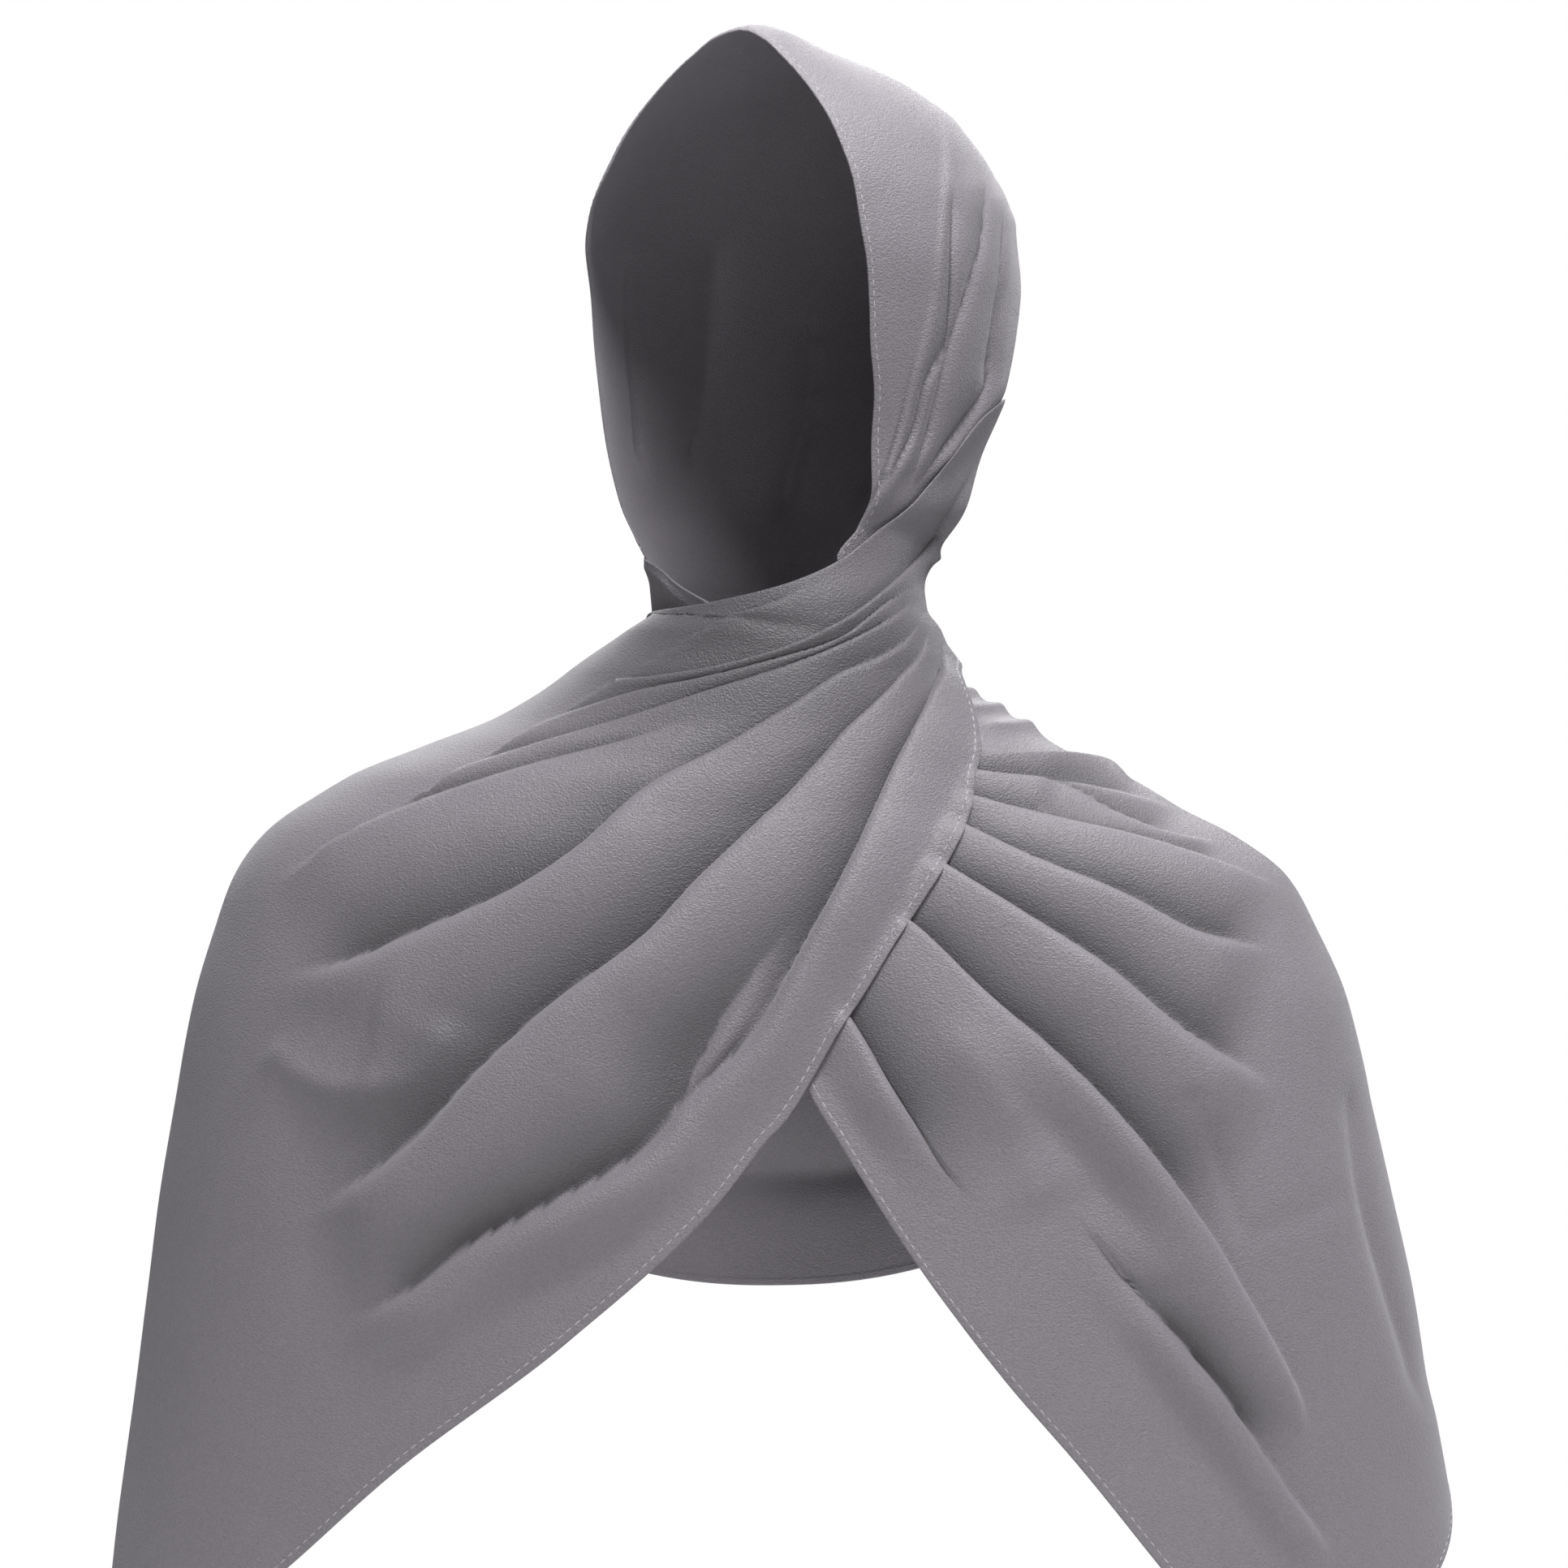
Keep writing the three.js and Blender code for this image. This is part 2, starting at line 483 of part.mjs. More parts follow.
function wallSolid(name, placeAt, extraHeight = () => 0) {
  const { outer, inner } = wallGrids(name, placeAt, extraHeight);
  const { along, across } = GRID[name];
  const points = [...outer.flat(), ...inner.flat()];
  const half = (along + 1) * (across + 1);
  const outerAt = (i, j) => i * (across + 1) + j;
  const innerAt = (i, j) => half + outerAt(i, j);
  const corners = [];
  const quad = (a, b, c, d) => {
    const even = points[a].distanceTo(points[c]) <= points[b].distanceTo(points[d]);
    corners.push(...(even ? [a, b, c, a, c, d] : [a, b, d, b, c, d]));
  };
  for (let i = 0; i < along; i += 1) {
    for (let j = 0; j < across; j += 1) {
      quad(outerAt(i, j), outerAt(i, j + 1), outerAt(i + 1, j + 1), outerAt(i + 1, j));
      quad(innerAt(i, j), innerAt(i + 1, j), innerAt(i + 1, j + 1), innerAt(i, j + 1));
    }
    quad(outerAt(i, 0), outerAt(i + 1, 0), innerAt(i + 1, 0), innerAt(i, 0));
    quad(outerAt(i + 1, across), outerAt(i, across), innerAt(i, across), innerAt(i + 1, across));
  }
  for (let j = 0; j < across; j += 1) {
    quad(outerAt(0, j + 1), outerAt(0, j), innerAt(0, j), innerAt(0, j + 1));
    quad(outerAt(along, j), outerAt(along, j + 1), innerAt(along, j + 1), innerAt(along, j));
  }
  const shape = new THREE.BufferGeometry();
  shape.setAttribute("position", new THREE.Float32BufferAttribute(points.flatMap((p) => p.toArray()), 3));
  shape.setIndex(corners);
  shape.computeVertexNormals();
  const cloth = new THREE.MeshStandardMaterial({
    color: CLOTH_COLOUR[name],
    roughness: CLOTH_ROUGHNESS,
    metalness: 0,
  });
  const mesh = new THREE.Mesh(shape, cloth);
  mesh.name = name;
  return mesh;
}

// A stretch spread between its rungs
function rungPlaces(rungs) {
  const stations = rungs.map((rung, i) => i);
  const edges = {};
  for (const edge of ["top", "mid", "hem"]) {
    const places = rungs.map((rung) => placeOf(rung[edge]));
    let turned = places[0].turn;
    const turns = places.map(({ turn }) => {
      turned += THREE.MathUtils.euclideanModulo(turn - turned + Math.PI, 2 * Math.PI) - Math.PI;
      return turned;
    });
    edges[edge] = {
      turn: smoothCurve(stations, turns),
      down: smoothCurve(stations, places.map(({ down }) => down)),
    };
  }
  return (along, across) => {
    const at = along * (rungs.length - 1);
    const place = {};
    for (const column of ["turn", "down"]) {
      const ends = ["top", "mid", "hem"].map((edge) => edges[edge][column](at));
      place[column] = smoothCurve([0, 0.5, 1], ends)(across);
    }
    return place;
  };
}

// The hood is spread like a fan between the two gathers
function hoodPlaces() {
  const right = new THREE.Vector3(...GATHER.right);
  const left = new THREE.Vector3(...GATHER.left);
  const heart = right.clone().add(left).multiplyScalar(0.5);
  const axis = right.clone().sub(heart).normalize();
  const ahead = new THREE.Vector3(0, -1, 0).addScaledVector(axis, axis.y).normalize();
  const up = axis.clone().cross(ahead);
  if (up.z < 0) up.negate();
  const edge = [...FACE_EDGE, ...FAR_CHEEK_EDGE].map((entry) => {
    const { turn, down } = placeOf(entry);
    const point = formPoint(turn, down).sub(heart);
    return {
      sweep: Math.acos(point.dot(axis) / point.length()),
      lift: Math.atan2(point.dot(up), point.dot(ahead)),
      stand: entry.stand ?? 0,
    };
  });
  edge.sort((a, b) => a.sweep - b.sweep);
  const sweeps = edge.map(({ sweep }) => sweep);
  const liftAt = smoothCurve(sweeps, edge.map(({ lift }) => lift));
  const standAt = smoothCurve(sweeps, edge.map(({ stand }) => stand));
  const sweepAt = (along) => radians(HOOD_ENDS.right + (HOOD_ENDS.left - HOOD_ENDS.right) * along);
  const placeAt = (along, across) => {
    const sweep = sweepAt(along);
    const lift = liftAt(sweep) + (radians(NAPE_ANGLE) - liftAt(sweep)) * across;
    const ray = axis.clone().multiplyScalar(Math.cos(sweep))
      .addScaledVector(ahead, Math.sin(sweep) * Math.cos(lift))
      .addScaledVector(up, Math.sin(sweep) * Math.sin(lift));
    return firstPlace(heart.clone().addScaledVector(ray, CLEAR_OF_HEAD), heart);
  };
  const standOff = (along, across, point) => {
    const sweep = sweepAt(along);
    const lift = liftAt(sweep) + (radians(NAPE_ANGLE) - liftAt(sweep)) * across;
    const behind = (lift - liftAt(sweep)) * point.distanceTo(heart) * Math.sin(sweep);
    return standAt(sweep) * Math.exp(-((behind / STAND_OFF_DEPTH) ** 2));
  };
  return { placeAt, standOff };
}

// The front hem, seen from the front, that covers the under stretch
const frontHem = FRONT_RUNGS.map(({ hem }) => [hem.x, hem.z]).filter(([x]) => x !== undefined);
function underCovered(along, across, point) {
  const [x, z] = seenFrom(point);
  const { distance, side } = besideRun(x, z, frontHem);
  const inside = side < 0 ? distance : -distance;
  return smooth(inside, -COVER_FADE / 2, COVER_FADE) * smooth(-point.y, 0, FRONT_ONLY);
}

const part = new THREE.Group();
const hood = hoodPlaces();
part.add(wallSolid("hood", hood.placeAt, hood.standOff));
part.add(wallSolid("back_fall", rungPlaces(BACK_RUNGS), (along, across, point) => {
  return -NECK_TUCK * smooth(point.z, NECK_TUCK_BAND.from, NECK_TUCK_BAND.to);
}));
const underPlaces = rungPlaces(UNDER_RUNGS);
part.add(wallSolid("under_stretch", underPlaces, (along, across, point) => {
  return -COVER_SINK * underCovered(along, across, point);
}));
part.add(wallSolid("front_stretch", rungPlaces(FRONT_RUNGS), (along) => {
  return -FRONT_SETTLE * (1 - smooth(along, FRONT_SETTLE_BAND.from, FRONT_SETTLE_BAND.to));
}));

export default part;
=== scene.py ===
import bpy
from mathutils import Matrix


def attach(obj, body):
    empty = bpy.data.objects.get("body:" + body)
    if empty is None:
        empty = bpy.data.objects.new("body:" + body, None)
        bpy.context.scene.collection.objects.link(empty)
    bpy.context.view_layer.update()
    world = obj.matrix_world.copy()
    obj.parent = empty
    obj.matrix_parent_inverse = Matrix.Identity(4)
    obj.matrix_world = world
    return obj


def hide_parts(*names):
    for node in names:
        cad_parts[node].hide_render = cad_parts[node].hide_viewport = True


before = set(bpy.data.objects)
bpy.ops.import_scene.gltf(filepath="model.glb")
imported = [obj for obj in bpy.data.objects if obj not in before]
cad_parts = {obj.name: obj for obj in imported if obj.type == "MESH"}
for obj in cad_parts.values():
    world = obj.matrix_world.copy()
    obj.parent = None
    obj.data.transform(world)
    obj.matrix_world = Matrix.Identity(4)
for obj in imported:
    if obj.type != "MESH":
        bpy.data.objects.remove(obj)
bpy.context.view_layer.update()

import bpy
import numpy as np
from mathutils import Vector

# The view and the studio: the eye stands straight in front of the chest and looks level along +Y. A pale
# round floor lies well under the cloth. Soft light comes mostly from above and in front, in white air.
# Lengths are in mm, and MM turns them into metres.
MM = 0.001
EYE = np.array([0.0, -1500.0, -299.0])
SENSOR_WIDTH = 36.0
LENS = 83.44
FLOOR_HEIGHT = -900.0
FLOOR_RADIUS = 1230.0
FLOOR_PALE = (0.9, 0.9, 0.9, 1)
FLOOR_ROUGHNESS = 0.9
FLOOR_SIDES = 96
# name: where the lamp hangs and what it points at (mm), its width and height (mm), its power (W)
LAMPS = {
    "key light": ((500, -900, 1500), (0, 0, -330), (900, 500), 55),
    "top light": ((250, 300, 1300), (0, -20, -300), (1100, 700), 14),
    "front fill": ((300, -2100, -500), (0, 0, -450), (900, 900), 6),
    "left fill": ((-1800, -1100, 100), (0, 0, -350), (700, 1200), 4),
    "back light": ((0, 2000, 900), (0, 0, -350), (2000, 1200), 28),
}
SURROUND_SEEN = 1.0
SURROUND_LIGHT = 0.1


class Nodes:
    """A node tree that is filled by expressions."""

    def __init__(self, tree):
        self.tree = tree

    def add(self, kind, settings=(), **sockets):
        node = self.tree.nodes.new(kind)
        for name, value in dict(settings).items():
            setattr(node, name, value)
        for name, value in sockets.items():
            self.feed(node.inputs[name.replace("_", " ")], value)
        return node

    def feed(self, socket, value):
        if isinstance(value, Maths):
            value = value.socket
        if isinstance(value, bpy.types.NodeSocket):
            self.tree.links.new(value, socket)
        else:
            socket.default_value = value


class Maths:
    """A socket that adds Math nodes when it is used in an expression."""

    def __init__(self, nodes, socket):
        self.nodes = nodes
        self.socket = socket

    def step(self, operation, *values):
        node = self.nodes.tree.nodes.new("ShaderNodeMath")
        node.operation = operation
        for slot, value in zip(node.inputs, values):
            self.nodes.feed(slot, value)
        return Maths(self.nodes, node.outputs[0])

    def __add__(self, other):
        return self.step("ADD", self, other)

    def __sub__(self, other):
        return self.step("SUBTRACT", self, other)

    def __mul__(self, other):
        return self.step("MULTIPLY", self, other)


def plain_material(name, colour, roughness):
    material = bpy.data.materials.new(name)
    material.use_nodes = True
    shader = material.node_tree.nodes["Principled BSDF"]
    shader.inputs["Base Color"].default_value = colour
    shader.inputs["Roughness"].default_value = roughness
    return material


camera = bpy.data.objects.new("front view", bpy.data.cameras.new("front view"))
camera.data.sensor_width = SENSOR_WIDTH
camera.data.lens = LENS
camera.location = Vector(EYE) * MM
camera.rotation_euler = Vector((0, 1, 0)).to_track_quat("-Z", "Z").to_euler()
bpy.context.scene.collection.objects.link(camera)
bpy.context.scene.camera = camera
bpy.context.scene.view_settings.view_transform = "Standard"

for name, (place, aim, size, power) in LAMPS.items():
    lamp = bpy.data.objects.new(name, bpy.data.lights.new(name, "AREA"))
    lamp.data.shape = "RECTANGLE"
    lamp.data.size, lamp.data.size_y = size[0] * MM, size[1] * MM
    lamp.data.energy = power
    lamp.location = Vector(place) * MM
    lamp.rotation_euler = (Vector(aim) - Vector(place)).to_track_quat("-Z", "Y").to_euler()
    bpy.context.scene.collection.objects.link(lamp)

surround = bpy.data.worlds.new("white surround")
surround.use_nodes = True
bpy.context.scene.world = surround
air = Nodes(surround.node_tree)
seen = Maths(air, air.add("ShaderNodeLightPath").outputs["Is Camera Ray"])
backdrop = surround.node_tree.nodes["Background"]
backdrop.inputs["Color"].default_value = (1, 1, 1, 1)
air.feed(backdrop.inputs["Strength"], seen * (SURROUND_SEEN - SURROUND_LIGHT) + SURROUND_LIGHT)

bpy.ops.mesh.primitive_circle_add(vertices=FLOOR_SIDES, radius=FLOOR_RADIUS * MM, fill_type="NGON",
                                  location=(0, 0, FLOOR_HEIGHT * MM))
floor = bpy.context.object
floor.name = "pale floor"
floor.data.materials.append(plain_material("pale floor", FLOOR_PALE, FLOOR_ROUGHNESS))


# The hood: the middle of the crepe rectangle, laid over the head with its long hemmed edge framing the face.
# It fans out from two gathers, under the ears, and lies in soft lengthwise folds beside the viewer's right
# cheek. The whole scarf is one cloth, so its form, crepe, hem and stitches are first worked out here.
CLOTH = 0.8
WALL = 1.5
LAP_STEP = 2.1
LAYER = {"back_fall": 0, "hood": 1, "under_stretch": 2, "front_stretch": 3}
# The form under the cloth, as rings from the crown to elbow height, in mm and degrees: a ring's middle,
# half width and half depth, turn of its front (minus is the viewer's left) and squareness (2 is an ellipse).
CROWN = {"z": -2.1, "high": 88, "x": 8.7, "y": 10, "wide": 82, "deep": 100, "turn": -33}
CROWN_ANGLES = (0, 12, 24, 36, 48, 60, 75)
CROWN_TIP = 0.2
RING_COLUMNS = ("z", "x", "y", "wide", "deep", "turn", "square")
RINGS = [
    (-90, 8.7, 10, 82, 100, -33, 2),
    (-110, 8, 10, 80.5, 98, -33, 2),
    (-133, 6.7, 10, 77, 93, -33, 2),
    (-160, 3.2, 9, 71.5, 82, -30, 2),
    (-183, 1.8, 7, 65.5, 74, -22, 2),
    (-198, 0, 5, 57, 68, -15, 2),
    (-217, 1, 2, 51, 64, -6, 2),
    (-230, 2.5, 0, 51.5, 63, 0, 2),
    (-237, 4.5, 0, 54.5, 63, 0, 2),
    (-246, -1.5, -1, 63.5, 65, 0, 2),
    (-260, -7, -1, 78, 69, 0, 2),
    (-278, -7, -1, 106, 74, 0, 2.05),
    (-291, -10.5, -1, 135, 79, 0, 2.1),
    (-303, -16, -2, 159, 82.5, 0, 2.15),
    (-313, -16, -2.5, 175.5, 85.5, 0, 2.2),
    (-325, -12.5, -3.5, 195, 89.5, 0, 2.25),
    (-340, -8, -4.5, 210, 93.5, 0, 2.3),
    (-360, -6, -5.5, 219, 97.5, 0, 2.35),
    (-388, -4, -6.5, 229, 102.5, 0, 2.4),
    (-429, -3, -8, 237, 108, 0, 2.4),
    (-465, -2, -8.5, 244, 110.5, 0, 2.4),
    (-505, 0, -9, 251, 111, 0, 2.4),
    (-545, 1, -9.5, 257, 109.5, 0, 2.4),
    (-605, 2, -10.5, 266, 106.5, 0, 2.4),
    (-720, 2, -10.5, 276, 102, 0, 2.4),
]
SLOPE_TURN = 0.02
SLOPE_DOWN = 7.0
SIGHT_NEAR, SIGHT_FAR = -190.0, 70.0
SIGHT_STEPS = 200
HALVINGS = 26
RING_READINGS = 6000
CLEAR_OF_ENDS = 2.0
ABOVE_CROWN = 10.0
TINY = 1e-9


def smooth_step(value, low, high):
    share = np.clip((value - low) / (high - low), 0, 1)
    return share * share * (3 - 2 * share)


def smooth_curve(stations, values):
    """A monotone cubic through the values at the given stations."""
    stations, values = np.asarray(stations, float), np.asarray(values, float)
    gap = np.diff(stations)
    slope = np.diff(values) / gap
    lean = np.empty_like(values)
    lean[0], lean[-1] = slope[0], slope[-1]
    before, after = 2 * gap[1:] + gap[:-1], gap[1:] + 2 * gap[:-1]
    turning = slope[:-1] * slope[1:] <= 0
    left, right = np.where(turning, 1, slope[:-1]), np.where(turning, 1, slope[1:])
    lean[1:-1] = np.where(turning, 0, (before + after) / (before / left + after / right))

    def at(place):
        place = np.clip(place, stations[0], stations[-1])
        i = np.clip(np.searchsorted(stations, place, side="right") - 1, 0, len(gap) - 1)
        u = (place - stations[i]) / gap[i]
        keep = (1 + 2 * u) * (1 - u) ** 2
        leave, arrive = u * (1 - u) ** 2 * gap[i], u * u * (u - 1) * gap[i]
        return keep * values[i] + (1 - keep) * values[i + 1] + leave * lean[i] + arrive * lean[i + 1]

    return at


def crown_ring(degrees):
    angle = np.radians(degrees)
    wide, deep = (max(CROWN[side] * np.sin(angle), CROWN_TIP) for side in ("wide", "deep"))
    height = CROWN["z"] - CROWN["high"] * (1 - np.cos(angle))
    return (height, CROWN["x"], CROWN["y"], wide, deep, CROWN["turn"], 2)


form_rings = np.array([crown_ring(degrees) for degrees in CROWN_ANGLES] + RINGS, float)
ring_steps = np.diff(form_rings, axis=0)
ring_stations = np.concatenate([[0], np.cumsum(np.hypot(ring_steps[:, 0], ring_steps[:, 3:5].mean(axis=1)))])
ring_curves = {name: smooth_curve(ring_stations, form_rings[:, i]) for i, name in enumerate(RING_COLUMNS)}
FORM_LENGTH = ring_stations[-1]
down_table = np.linspace(0, FORM_LENGTH, RING_READINGS)
height_table = ring_curves["z"](down_table)


def down_at_height(z):
    return np.interp(-np.asarray(z, float), -height_table, down_table)


def ring_at(down):
    ring = {name: curve(down) for name, curve in ring_curves.items()}
    ring["turn"] = np.radians(ring["turn"])
    return ring


def bend(value, power):
    return np.sign(value) * np.abs(value) ** power


def form_point(turn, down):
    ring = ring_at(down)
    across = bend(np.sin(turn - ring["turn"]), 2 / ring["square"]) * ring["wide"]
    ahead = bend(np.cos(turn - ring["turn"]), 2 / ring["square"]) * ring["deep"]
    cos, sin = np.cos(ring["turn"]), np.sin(ring["turn"])
    return np.stack([ring["x"] + across * cos + ahead * sin,
                     ring["y"] + across * sin - ahead * cos,
                     ring["z"] + 0 * turn], axis=-1)


def unit(vectors):
    return vectors / np.maximum(np.linalg.norm(vectors, axis=-1, keepdims=True), TINY)


def form_normal(turn, down):
    down = np.clip(down, CLEAR_OF_ENDS, FORM_LENGTH - CLEAR_OF_ENDS)
    around = form_point(turn + SLOPE_TURN, down) - form_point(turn - SLOPE_TURN, down)
    fall = form_point(turn, down + SLOPE_DOWN) - form_point(turn, down - SLOPE_DOWN)
    return unit(np.cross(fall, around))


def form_place(point):
    """Where a point is on the form: its turn, its way down, and how far out it is (1 on the form)."""
    down = down_at_height(point[..., 2])
    ring = ring_at(down)
    dx, dy = point[..., 0] - ring["x"], point[..., 1] - ring["y"]
    cos, sin = np.cos(ring["turn"]), np.sin(ring["turn"])
    across, ahead = (dx * cos + dy * sin) / ring["wide"], (dx * sin - dy * cos) / ring["deep"]
    half = ring["square"] / 2
    turn = np.arctan2(bend(across, half), bend(ahead, half)) + ring["turn"]
    out = (np.abs(across) ** (2 * half) + np.abs(ahead) ** (2 * half)) ** (0.5 / half)
    return turn, down, out + np.maximum(point[..., 2] - CROWN["z"], 0) / ABOVE_CROWN


def seen_place(x, z, stand=0.0):
    """A point seen from the front, in the plane y = 0, carried along the line of sight to the form."""
    on_plane = np.array([x, 0, z])
    middle = np.array([CROWN["x"], CROWN["y"], CROWN["z"] - CROWN["high"]])

    def at(depth):
        point = EYE + (on_plane - EYE) * (np.asarray(depth)[..., None] - EYE[1]) / -EYE[1]
        return form_place(point - stand * unit(point - middle))

    depths = np.linspace(SIGHT_NEAR, SIGHT_FAR, SIGHT_STEPS + 1)
    out = at(depths)[2]
    inside = np.nonzero(out <= 1)[0]
    if len(inside) == 0:
        return at(depths[np.argmin(out)])[:2]
    far, near = depths[inside[0]], depths[max(inside[0] - 1, 0)]
    for _ in range(HALVINGS):
        half = (near + far) / 2
        near, far = (half, far) if at(half)[2] > 1 else (near, half)
    return at(far)[:2]


def seen_from_front(point):
    scale = -EYE[1] / (point[..., 1] - EYE[1])
    return point[..., 0] * scale, EYE[2] + (point[..., 2] - EYE[2]) * scale


# A fold is a run of [x, z] points seen from the front, the line where a band of cloth laps over the one
# beside it. The band rises from that line within its foot, crisp near the neck and broad far out, then rounds
# down to the next line, or over its own width. Each size is given near the neck and far out, or near, half
# way and far. Out of sight the points are [turn, z]. A crease is a line of its own, pressed in or raised.
RUN_STEP = 5.0
FOOT_OPENING = 2.0
LEAN_SPREAD = 6.0
FOOT_CURVE = 0.45
# The painted shadow line before each lap's edge: how far before the line it fades, and the lap and foot
# widths that make it full strength
LINE_NEAR, LINE_FAR = 0.5, 1.9
LINE_LAP = 2.0
LINE_FOOT = (1.5, 5)
TOUCHING = 1e-6
# How dark the painted shade gets between a band's crest and the next line
VALLEY_PAINTED_SHADE = 0.85
IN_SIGHT = (-0.25, 0.1)
HIDDEN_RADIUS_HEAD, HIDDEN_RADIUS_BODY, NECK_HEIGHT = 90.0, 170.0, -240.0


def fold(run, rise, foot=(2, 4), over=(8, 10), crest=(0.8, 1.6), lap=(0, 0, 0), ends=(0.1, 0.16)):
    return {"run": np.array(run, float), "rise": rise, "foot": foot, "over": over, "crest": crest, "lap": lap,
            "ends": ends}


def along_run(run):
    """The run as a smooth line of short steps, with the length passed at each point."""
    passed = np.concatenate([[0], np.cumsum(np.hypot(*np.diff(run, axis=0).T))])
    steps = np.linspace(0, passed[-1], max(int(passed[-1] / RUN_STEP), 4) + 1)
    return np.stack([smooth_curve(passed, run[:, k])(steps) for k in range(2)], axis=-1), steps


def beside_run(x, z, run):
    """Signed distance from a run (plus on its left hand), the share of it passed, and its left hand."""
    line, passed = along_run(run)
    nearest = np.full(x.shape, np.inf)
    signed, share = np.zeros(x.shape), np.zeros(x.shape)
    left_hand = np.zeros(x.shape + (2,))
    for (ax, az), (bx, bz), before in zip(line[:-1], line[1:], passed[:-1]):
        dx, dz = bx - ax, bz - az
        long = np.hypot(dx, dz)
        part = np.clip(((x - ax) * dx + (z - az) * dz) / long**2, 0, 1)
        away = np.hypot(x - ax - part * dx, z - az - part * dz)
        closer = away < nearest
        nearest = np.where(closer, away, nearest)
        side = np.where(dx * (z - az) - dz * (x - ax) >= 0, 1.0, -1.0)
        signed = np.where(closer, away * side, signed)
        share = np.where(closer, (before + part * long) / passed[-1], share)
        left_hand[closer] = (-dz / long, dx / long)
    return signed, share, left_hand


def one_fold(x, z, shape, over_side):
    """A fold's signed distance (plus on its over side), share passed, presence, sizes and left hand."""
    signed, share, left_hand = beside_run(x, z, shape["run"])
    start, end = shape["ends"]
    present = smooth_step(share, 0, start) * (1 - smooth_step(share, 1 - end, 1))
    rise, lap = (np.interp(share, (0, 0.5, 1), shape[key]) for key in ("rise", "lap"))
    foot = shape["foot"][0] + (shape["foot"][1] - shape["foot"][0]) * share**FOOT_OPENING
    over = np.interp(share, (0, 1), shape["over"])
    return {"signed": signed * over_side, "present": present, "rise": rise * present, "lap": lap * present,
            "foot": foot, "over": over, "to_foot": -over_side * left_hand}


def banded_folds(x, z, folds, over_side):
    """Height and lean of bands of cloth that lap over each other, and a painted shade: a dark line in the
    crevice before each lap's edge, and darkening from each band's crest down to the next line.
    """
    lines = [one_fold(x, z, shape, over_side) for shape in folds]
    height, lean, depth = np.zeros(x.shape), np.zeros(x.shape + (2,)), np.zeros(x.shape)
    for line in lines:
        past = np.maximum(line["signed"], 0)
        followed, rounded, left_over = np.zeros(x.shape), np.ones(x.shape), np.ones(x.shape)
        for other in lines:
            if other is line:
                continue
            ahead = np.where(other["signed"] < 0, other["present"], 0)
            rounded *= 1 - ahead * (past / (past - np.minimum(other["signed"], -TOUCHING))) ** 2
            followed = np.maximum(followed, ahead)
            crossed = (other["signed"] >= 0) & (other["signed"] < line["signed"])
            left_over *= np.where(crossed, 1 - other["present"], 1)
        alone = np.clip(1 - (past / line["over"]) ** 2, 0, 1) ** 2
        # Painted shade, darkening down the band towards the next line
        painted_valley_shade = VALLEY_PAINTED_SHADE * line["present"] * left_over * (1 - rounded) * (line["signed"] > 0)
        rounded *= (followed + (1 - followed) * alone) * left_over
        risen = 1 - np.exp(-past / (FOOT_CURVE * line["foot"]))
        height += line["rise"] * rounded * risen
        lean += (line["lap"] * risen * np.exp(-past / LEAN_SPREAD))[..., None] * line["to_foot"]
        # Painted shadow line in the crevice just before the lap's edge
        before_line = 1 - smooth_step(-line["signed"], LINE_NEAR, LINE_FAR)
        in_line = before_line * (1 - smooth_step(past, 0, LINE_NEAR))
        strong = np.clip(line["lap"] / LINE_LAP, 0, 1) * (1 - smooth_step(line["foot"], *LINE_FOOT))
        depth = np.maximum(depth, np.maximum(in_line * strong, painted_valley_shade))
    return height, lean, depth


def ridge_height(x, z, shape, over_side=1):
    """The height of a single ridge or crease that falls away on both sides."""
    line = one_fold(x, z, shape, over_side)
    width = np.where(line["signed"] > 0, line["over"], line["foot"])
    crest = np.interp(line["present"], (0, 1), shape["crest"])
    return line["rise"] * np.exp((crest - np.hypot(line["signed"], crest)) / width)


def seen_folds(point, normal, folds, creases, over_side):
    """Folds drawn as seen from the front, which die away where the cloth turns out of sight."""
    facing = smooth_step((normal * unit(EYE - point)).sum(axis=-1), *IN_SIGHT)
    x, z = seen_from_front(point)
    height, flat_lean, depth = banded_folds(x, z, folds, over_side)
    height = facing * (height + sum(ridge_height(x, z, shape, over_side) for shape in creases))
    flat_lean = facing[..., None] * flat_lean
    lean = np.stack([flat_lean[..., 0], np.zeros(x.shape), flat_lean[..., 1]], axis=-1)
    return height, lean - normal * (lean * normal).sum(axis=-1, keepdims=True), facing * depth


def hidden_folds(turn, point, folds, centre=0.0):
    """Folds drawn by turn and height, centred on the front or on the back."""
    per_degree = np.radians(1) * np.where(point[..., 2] > NECK_HEIGHT, HIDDEN_RADIUS_HEAD, HIDDEN_RADIUS_BODY)
    degrees = (np.degrees(turn) - centre + 540) % 360 - 180
    height = np.zeros(turn.shape)
    for shape in folds:
        offsets = (shape["run"][:, 0] - centre + 540) % 360 - 180
        for radius in (HIDDEN_RADIUS_HEAD, HIDDEN_RADIUS_BODY):
            scale = np.radians(1) * radius
            run = np.stack([offsets * scale, shape["run"][:, 1]], axis=-1)
            here = np.isclose(per_degree, scale)
            height += here * ridge_height(degrees * scale, point[..., 2], {**shape, "run": run})
    return height


# The hem is rolled once and sewn down: thicker over its width, with the stitch line sunk in its inner side
HEM_WIDTH = 3.9
HEM_EXTRA = 0.7
HEM_STEP = (HEM_WIDTH - 0.4, HEM_WIDTH + 0.5)
HEM_ROWS = (0, 0.4, 1.1, 2.2, 2.9, 3.3, 3.7, 4.3, 5.6, 8)
PLAIN_ROWS = (0, 0.4, 1.1, 2.4)
STITCH_LINE = 3.3
STITCH_SINK = 0.35
STITCH_GROOVE = 0.45
EDGE_ROUND = 0.8
EDGE_LEAST = 0.03
CORNER_REACH = 1.0
CORNER_RIM = 2.0
ROUGH_ROWS, ROUGH_COLUMNS = 61, 81
LEAST_WIDE = 24.0


